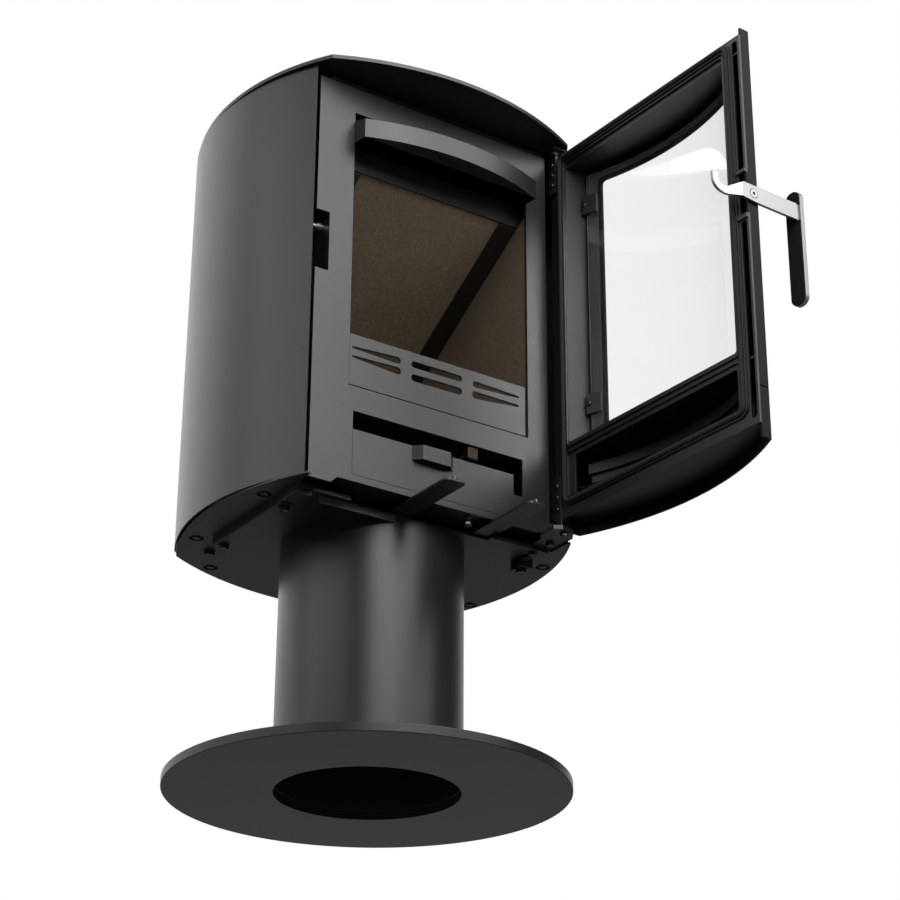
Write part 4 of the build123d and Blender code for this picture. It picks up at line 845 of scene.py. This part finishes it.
@dataclass
class Fasteners:
    """Bolts, nuts and screws, with hexagon heads, chamfers, washers and threads, in millimetres.

    Attributes:
        plate_under_mm: height of the bottom plate's underside.
        plate_top_mm: height of its upper side.
        thread_mm: pitch of the threads that show, drawn coarser than the real one.
        thread_root: radius of the thread's root, against that of its crest.
        thread_end: radius of the shank's end, against that of the crest.
        washer_mm: thickness of the washers under the hanging heads.
        flange_pcd_mm: circle of the pedestal flange's bolts.
        flange_drop_mm: how far the flange's underside is below the plate's.
        flange_head: head of those bolts.
        hanging_mm: places of the bolts through bars and plate, with the height of the face over each head.
        hanging_head: head of those bolts.
        hanging_nut: nut of those bolts, on the plate.
        access_mm: places of the access holes.
        access_head: head of the jacket's bolt in each of them.
        cover_mm: radius and thickness of the round plates over the access holes.
        hinge_bolts_mm: places of the bolts through plate and hinge plate.
        hinge_head: head of those bolts.
        hinge_nuts_mm: places of the nuts under the hinge plate.
        hinge_nut: those nuts.
        guide_bolt_mm: place of the stud between the air levers.
        guide_nuts: height of the foot and size of the stud's nuts.
        stud_mm: lowest and highest height and the radius of that stud.
        leaf_screw_mm: x and y of the hinge leaves' screws, in the shut door.
        leaf_heights_mm: heights of those screws.
        leaf_screw: head of those screws.
        clip_screw_mm: distance from the middle and depth behind the door's face of the glass clips' screws.
        clip_heights_mm: heights of those screws.
        clip_screw: head of those screws.
        door_arc_mm: y of the centre and the radius of the door's face, in the shut door.
        door: the open door.
    """

    plate_under_mm: float = 319.8
    plate_top_mm: float = 322.3
    thread_mm: float = 1.0
    thread_root: float = 0.86
    thread_end: float = 0.8
    washer_mm: float = 0.9
    flange_pcd_mm: float = 196.0
    flange_drop_mm: float = 5.0
    flange_head: Head = Head(5.5, 7.2)
    hanging_mm: tuple[tuple[float, float, float], ...] = (
        (-177.0, -79.0, 308.8), (-177.0, 70.0, 308.8), (177.0, -79.0, 308.8), (-169.0, 122.0, 319.8),
        (169.0, 122.0, 319.8))
    hanging_head: Head = Head(5.3, 7.0)
    hanging_nut: Head = Head(5.0, 7.2)
    access_mm: tuple[tuple[float, float], ...] = (
        (-204.0, -78.5), (-204.5, 91.0), (-141.5, 168.5), (211.5, -79.5), (212.0, 88.0), (141.5, 168.5))
    access_head: Head = Head(3.4, 5.4)
    cover_mm: tuple[float, float] = (12.0, 1.2)
    hinge_bolts_mm: tuple[tuple[float, float], ...] = ((171.5, -112.0), (171.5, -96.0))
    hinge_head: Head = Head(4.2, 5.6)
    hinge_nuts_mm: tuple[tuple[float, float], ...] = ((174.0, -146.1), (169.8, -181.5))
    hinge_nut: Head = Head(4.4, 5.2)
    guide_bolt_mm: tuple[float, float] = (50.0, -142.0)
    guide_nuts: tuple[tuple[float, Head], ...] = ((318.0, Head(3.8, 5.6)), (328.4, Head(3.6, 5.6)))
    stud_mm: tuple[float, float, float] = (317.2, 333.9, 2.9)
    leaf_screw_mm: tuple[float, float] = (180.5, -160.0)
    leaf_heights_mm: tuple[float, ...] = (842.0, 858.0, 874.0, 364.0, 380.0, 396.0)
    leaf_screw: Button = Button(2.0, 3.6, 1.5)
    clip_screw_mm: tuple[float, float] = (145.5, 11.6)
    clip_heights_mm: tuple[float, ...] = (508.0, 805.0)
    clip_screw: Button = Button(3.0, 4.0, 1.6)
    door_arc_mm: tuple[float, float] = (203.89, 428.89)
    door: OpenDoorFrame = field(default_factory=OpenDoorFrame)

    def thread(self, base: float, top: float, radius: float) -> list[Ring]:
        """Rings of a threaded shank.

        Args:
            base: height of its lower end.
            top: height of its upper end.
            radius: radius of the thread's crest.

        Returns:
            The rings, in metres.
        """
        count = max(2, round((top - base) / self.thread_mm))
        step = (top - base) / count
        rings = []
        for k in range(count):
            rings += [Ring((base + step * k) * MM, radius * self.thread_root * MM),
                      Ring((base + step * (k + 0.5)) * MM, radius * MM)]
        return rings + [Ring(top * MM, radius * self.thread_end * MM)]

    def under(self, mesh: bmesh.types.BMesh, x: float, y: float, base: float, head: Head) -> None:
        """Adds a bolt head that hangs below a level face."""
        add_form(mesh, head.rings(0.0, self.washer_mm), looking((x * MM, y * MM, base * MM), (0, 0, -1)))

    def build_underside(self) -> None:
        """Makes the bolts under and above the bottom plate."""
        mesh = bmesh.new()
        reach = self.flange_pcd_mm / 2 * math.sqrt(0.5)
        flange = self.plate_under_mm - self.flange_drop_mm
        for sx in (-1, 1):
            for sy in (-1, 1):
                self.under(mesh, sx * reach, sy * reach, flange, self.flange_head)
        for x, y, under in self.hanging_mm:
            self.under(mesh, x, y, under, self.hanging_head)
            add_form(mesh, self.hanging_nut.rings(0.0),
                     looking((x * MM, y * MM, self.plate_top_mm * MM), (0, 0, 1)))
        for x, y in self.hinge_bolts_mm:
            self.under(mesh, x, y, self.plate_under_mm, self.hinge_head)
        for x, y in self.hinge_nuts_mm:
            self.under(mesh, x, y, self.plate_top_mm, self.hinge_nut)
        place_piece("plate_bolts", finish_mesh("plate_bolts", mesh), DARK_ZINC, "stove_body",
                    ["underside_bolts"])

    def build_jacket_bolts(self) -> None:
        """Makes the bolts of the jackets, each on a round plate over an access hole."""
        mesh = bmesh.new()
        radius, thickness = (size * MM for size in self.cover_mm)
        for x, y in self.access_mm:
            add_form(mesh, [Ring(0.0, radius), Ring(thickness, radius)],
                     looking((x * MM, y * MM, self.plate_top_mm * MM), (0, 0, 1)))
            self.under(mesh, x, y, self.plate_top_mm, self.access_head)
        place_piece("jacket_bolts", finish_mesh("jacket_bolts", mesh), DARK_ZINC, "stove_body")

    def build_guide_bolt(self) -> None:
        """Makes the threaded bolt between the air levers, with its nuts."""
        mesh = bmesh.new()
        x, y = self.guide_bolt_mm
        at = looking((x * MM, y * MM, 0), (0, 0, 1))
        add_form(mesh, self.thread(*self.stud_mm), at)
        for base, nut in self.guide_nuts:
            add_form(mesh, nut.rings(base), at)
        place_piece("guide_stud", finish_mesh("guide_stud", mesh), DARK_ZINC, "stove_body",
                    ["lever_guide_bolt"])

    def build_door_screws(self) -> None:
        """Makes the screws of the hinge leaves and of the glass clips."""
        mesh = bmesh.new()
        inward = self.door.direction(0, 1, 0)
        for z in self.leaf_heights_mm:
            add_form(mesh, self.leaf_screw.rings(), looking(self.door.place(*self.leaf_screw_mm, z), inward))
        (reach, depth), (centre, radius) = self.clip_screw_mm, self.door_arc_mm
        y = centre - math.sqrt((radius - depth) ** 2 - reach * reach)
        for z in self.clip_heights_mm:
            for x in (-reach, reach):
                turn = self.door.direction(-x, centre - y, 0)
                add_form(mesh, self.clip_screw.rings(), looking(self.door.place(x, y, z), turn))
        place_piece("button_screws", finish_mesh("button_screws", mesh), DARK_ZINC, "door",
                    ["door_screws"])

    def build(self) -> None:
        """Makes all the fasteners."""
        self.build_underside()
        self.build_jacket_bolts()
        self.build_guide_bolt()
        self.build_door_screws()


@dataclass
class Paintwork:
    """Which finish each CAD node has.

    Attributes:
        coats: each finish with the nodes that have it.
    """

    coats: tuple[tuple[Finish, tuple[str, ...]], ...] = (
        (CASING_PAINT, ("foot_disc", "pedestal_tube", "jacket_left", "jacket_right", "back_panel",
                        "rear_flue_cover", "top_plate", "front_plate", "log_guard", "air_wash_hood",
                        "ash_pan_front", "ash_pan_handle")),
        (CHASSIS_PAINT, ("bottom_plate", "bottom_rails", "firebox_left", "firebox_right", "firebox_back",
                         "firebox_floor", "firebox_roof", "baffle_rails", "air_valve_plate",
                         "casing_brackets", "flue_collar", "ash_pan", "primary_air_lever",
                         "secondary_air_lever", "upper_hinge_arm", "lower_hinge_plate")),
        (DOOR_PAINT, ("door_frame", "door_end_plates", "door_air_guide", "glass_clips", "door_hinges")),
        (SKIN_PAINT, ("door_skin", "door_skin_lower")),
        # painted light on the inlet strip: the lighter grey paint
        (LIT_STRIP_PAINT, ("inlet_strip",)),
        (LINING, ("brick_left", "brick_back", "baffle_plate")),
        # painted shade on the right-hand brick: the darker copy of the board
        (SHADED_LINING, ("brick_right",)),
        (CASTING, ("grate_plate", "riddling_grate")),
        (PANE, ("door_glass",)),
        (ROPE_YARN, ("glass_gasket",)),
        (PAD_FIBRE, ("grip_pad",)),
        (STAINLESS_UPRIGHT, ("handle_grip",)),
        (STAINLESS_LEVEL, ("latch_hook", "handle_shaft")),
        (STAINLESS_LEVER, ("handle_lever",)),
        (ZINC, ("riddling_rod", "hinge_washer", "hinge_pins", "catch_pin")),
        (HEAT_TINTED, ("riddling_knob",)),
        (DARK_ZINC, ("primary_lever_pins", "secondary_lever_pins")),
    )

    def apply(self, frame: dict[str, Any]) -> None:
        """Dresses the CAD nodes.

        Args:
            frame: the loaded frame.
        """
        for finish, nodes in self.coats:
            dress(frame, finish, nodes)


# ---------------------------------------------------------------- studio
@dataclass
class Softbox:
    """A soft lamp on a sphere round the stove.

    Attributes:
        name: lamp name.
        azimuth: degrees from the front towards the right.
        elevation: degrees above the horizon.
        distance: distance from the stove's middle.
        size: width and height.
        radiance: how bright it looks in a mirror.
    """

    name: str
    azimuth: float
    elevation: float
    distance: float
    size: tuple[float, float]
    radiance: float

    def build(self, target: Vector) -> None:
        """Makes the lamp.

        Args:
            target: point that it faces.
        """
        az, el = math.radians(self.azimuth), math.radians(self.elevation)
        way = Vector((math.sin(az) * math.cos(el), -math.cos(az) * math.cos(el), math.sin(el)))
        light = bpy.data.lights.new(self.name, "AREA")
        light.shape, light.size, light.size_y = "RECTANGLE", *self.size
        light.energy = self.radiance * math.pi * self.size[0] * self.size[1]
        lamp = bpy.data.objects.new(self.name, light)
        lamp.location = target + way * self.distance
        lamp.rotation_mode = "QUATERNION"
        lamp.rotation_quaternion = way.to_track_quat("Z", "Y")
        bpy.context.scene.collection.objects.link(lamp)


@dataclass
class Studio:
    """Camera, lamps, world and floor.

    Attributes:
        picture_px: width of the picture.
        focal_px: focal length, in that picture's pixels.
        sensor_mm: width of the camera's sensor.
        clip: nearest and farthest distance that the camera sees.
        eye: camera place.
        right: camera's right-hand direction.
        up: camera's up direction.
        forward: direction that the camera looks in.
        aim: point that the lamps face.
        room: level of the room in front of the stove and below it, against 1 for the backdrop.
        backdrop_turn: Y of the directions between which the room turns into the backdrop.
        horizon_turn: Z of the directions between which the room below ends.
        floor_half: half the floor's width.
        floor_level: height of the floor, just under the foot.
        floor_fade: distances between which the floor fades out.
        paper: colour of the floor.
        lamps: the soft lamps.
    """

    picture_px: int = 900
    focal_px: float = 2310.480418
    sensor_mm: float = 36.0
    clip: tuple[float, float] = (0.05, 100.0)
    eye: tuple[float, float, float] = (-1.4522108756, -2.3169494402, -0.7954928733)
    right: tuple[float, float, float] = (0.8263005656, -0.5632064002, 0.0050917593)
    up: tuple[float, float, float] = (-0.2392904169, -0.3428591376, 0.9083984303)
    forward: tuple[float, float, float] = (0.5098700537, 0.7518285459, 0.4180745936)
    aim: tuple[float, float, float] = (0.0, -0.05, 0.55)
    room: tuple[float, float] = (0.06, 0.2)
    backdrop_turn: tuple[float, float] = (0.05, 0.6)
    horizon_turn: tuple[float, float] = (-0.2, 0.1)
    floor_half: float = 12.0
    floor_level: float = -0.6 * MM
    floor_fade: tuple[float, float] = (0.9, 2.2)
    paper: str = "#f4f4f4"
    lamps: tuple[Softbox, ...] = (
        Softbox("front_softbox", 26, 31, 3.0, (2.3, 2.2), 4.1),
        Softbox("front_left_softbox", -15, 28, 3.0, (1.9, 2.0), 6.2),
        Softbox("left_softbox", -87, 23, 3.0, (2.9, 1.8), 1.7),
        Softbox("back_softbox", -166, 30, 3.0, (2.8, 1.8), 0.5),
    )

    def add_camera(self) -> None:
        """Makes the scene's camera."""
        lens = bpy.data.cameras.new("camera")
        lens.sensor_width = self.sensor_mm
        lens.lens = self.focal_px / self.picture_px * self.sensor_mm
        lens.clip_start, lens.clip_end = self.clip
        camera = bpy.data.objects.new("camera", lens)
        turn = Matrix((self.right, self.up, [-c for c in self.forward])).transposed()
        camera.matrix_world = Matrix.Translation(self.eye) @ turn.to_4x4()
        bpy.context.scene.collection.objects.link(camera)
        bpy.context.scene.camera = camera

    def add_world(self) -> None:
        """Makes the world: a white backdrop behind the stove, a darker room in front and below."""
        world = bpy.data.worlds.new("studio")
        world.use_nodes = True
        tree = world.node_tree
        tree.nodes.clear()
        place = add_node(tree, "ShaderNodeTexCoord")
        axes = add_node(tree, "ShaderNodeSeparateXYZ", links={"Vector": (place, "Generated")})
        back = add_node(tree, "ShaderNodeMapRange", {
            "interpolation_type": "SMOOTHSTEP", "From Min": self.backdrop_turn[0],
            "From Max": self.backdrop_turn[1], "To Min": self.room[0], "To Max": 1.0}, {"Value": (axes, "Y")})
        above = add_node(tree, "ShaderNodeMapRange", {
            "interpolation_type": "SMOOTHSTEP", "From Min": self.horizon_turn[0],
            "From Max": self.horizon_turn[1]}, {"Value": (axes, "Z")})
        room = add_node(tree, "ShaderNodeMix", {"data_type": "FLOAT", 2: self.room[1]},
                        {0: (above, "Result"), 3: (back, "Result")})
        path = add_node(tree, "ShaderNodeLightPath")
        seen = add_node(tree, "ShaderNodeMath", {"operation": "MAXIMUM"},
                        {0: (path, "Is Camera Ray"), 1: (path, "Is Transmission Ray")})
        level = add_node(tree, "ShaderNodeMix", {"data_type": "FLOAT", 3: 1.0},
                         {0: (seen, "Value"), 2: (room, 0)})
        light = add_node(tree, "ShaderNodeBackground", {"Color": (1, 1, 1, 1)}, {"Strength": (level, 0)})
        add_node(tree, "ShaderNodeOutputWorld", links={"Surface": (light, "Background")})
        bpy.context.scene.world = world

    def add_floor(self) -> None:
        """Makes a pale floor that shows from above, is clear from below and fades out far off."""
        material, tree = new_material("studio_floor")
        path = add_node(tree, "ShaderNodeLightPath")
        side = add_node(tree, "ShaderNodeNewGeometry")
        seen = add_node(tree, "ShaderNodeMath", {"operation": "MAXIMUM"},
                        {0: (path, "Is Camera Ray"), 1: (path, "Is Transmission Ray")})
        above = add_node(tree, "ShaderNodeMath", {"operation": "SUBTRACT", "use_clamp": True},
                         {0: (seen, "Value"), 1: (side, "Backfacing")})
        away = add_node(tree, "ShaderNodeVectorMath", {"operation": "LENGTH"}, {0: (side, "Position")})
        near = add_node(tree, "ShaderNodeMapRange", {
            "interpolation_type": "SMOOTHSTEP", "From Min": self.floor_fade[0],
            "From Max": self.floor_fade[1], "To Min": 1.0, "To Max": 0.0}, {"Value": (away, "Value")})
        shown = add_node(tree, "ShaderNodeMath", {"operation": "MULTIPLY"},
                         {0: (above, "Value"), 1: (near, "Result")})
        paper = add_node(tree, "ShaderNodeBsdfDiffuse", {"Color": linear(self.paper)})
        clear = add_node(tree, "ShaderNodeBsdfTransparent")
        mixed = add_node(tree, "ShaderNodeMixShader", links={
            0: (shown, "Value"), 1: (clear, "BSDF"), 2: (paper, "BSDF")})
        add_node(tree, "ShaderNodeOutputMaterial", links={"Surface": (mixed, "Shader")})
        mesh = bpy.data.meshes.new("floor")
        half = self.floor_half
        corners = [(x * half, y * half, self.floor_level) for x, y in ((-1, -1), (1, -1), (1, 1), (-1, 1))]
        mesh.from_pydata(corners, [], [(0, 1, 2, 3)])
        mesh.materials.append(material)
        floor = bpy.data.objects.new("floor", mesh)
        bpy.context.scene.collection.objects.link(floor)

    def build(self) -> None:
        """Makes the studio."""
        self.add_camera()
        self.add_world()
        self.add_floor()
        for lamp in self.lamps:
            lamp.build(Vector(self.aim))
        bpy.context.scene.view_settings.view_transform = "Standard"


def main() -> None:
    """Builds the scene."""
    logging.basicConfig(level=logging.INFO, format="%(message)s")
    for old in list(bpy.data.objects):
        bpy.data.objects.remove(old)
    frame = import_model()
    Paintwork().apply(frame)
    RopeSeal().build()
    Fasteners().build()
    Studio().build()


if __name__ == "__main__":
    main()
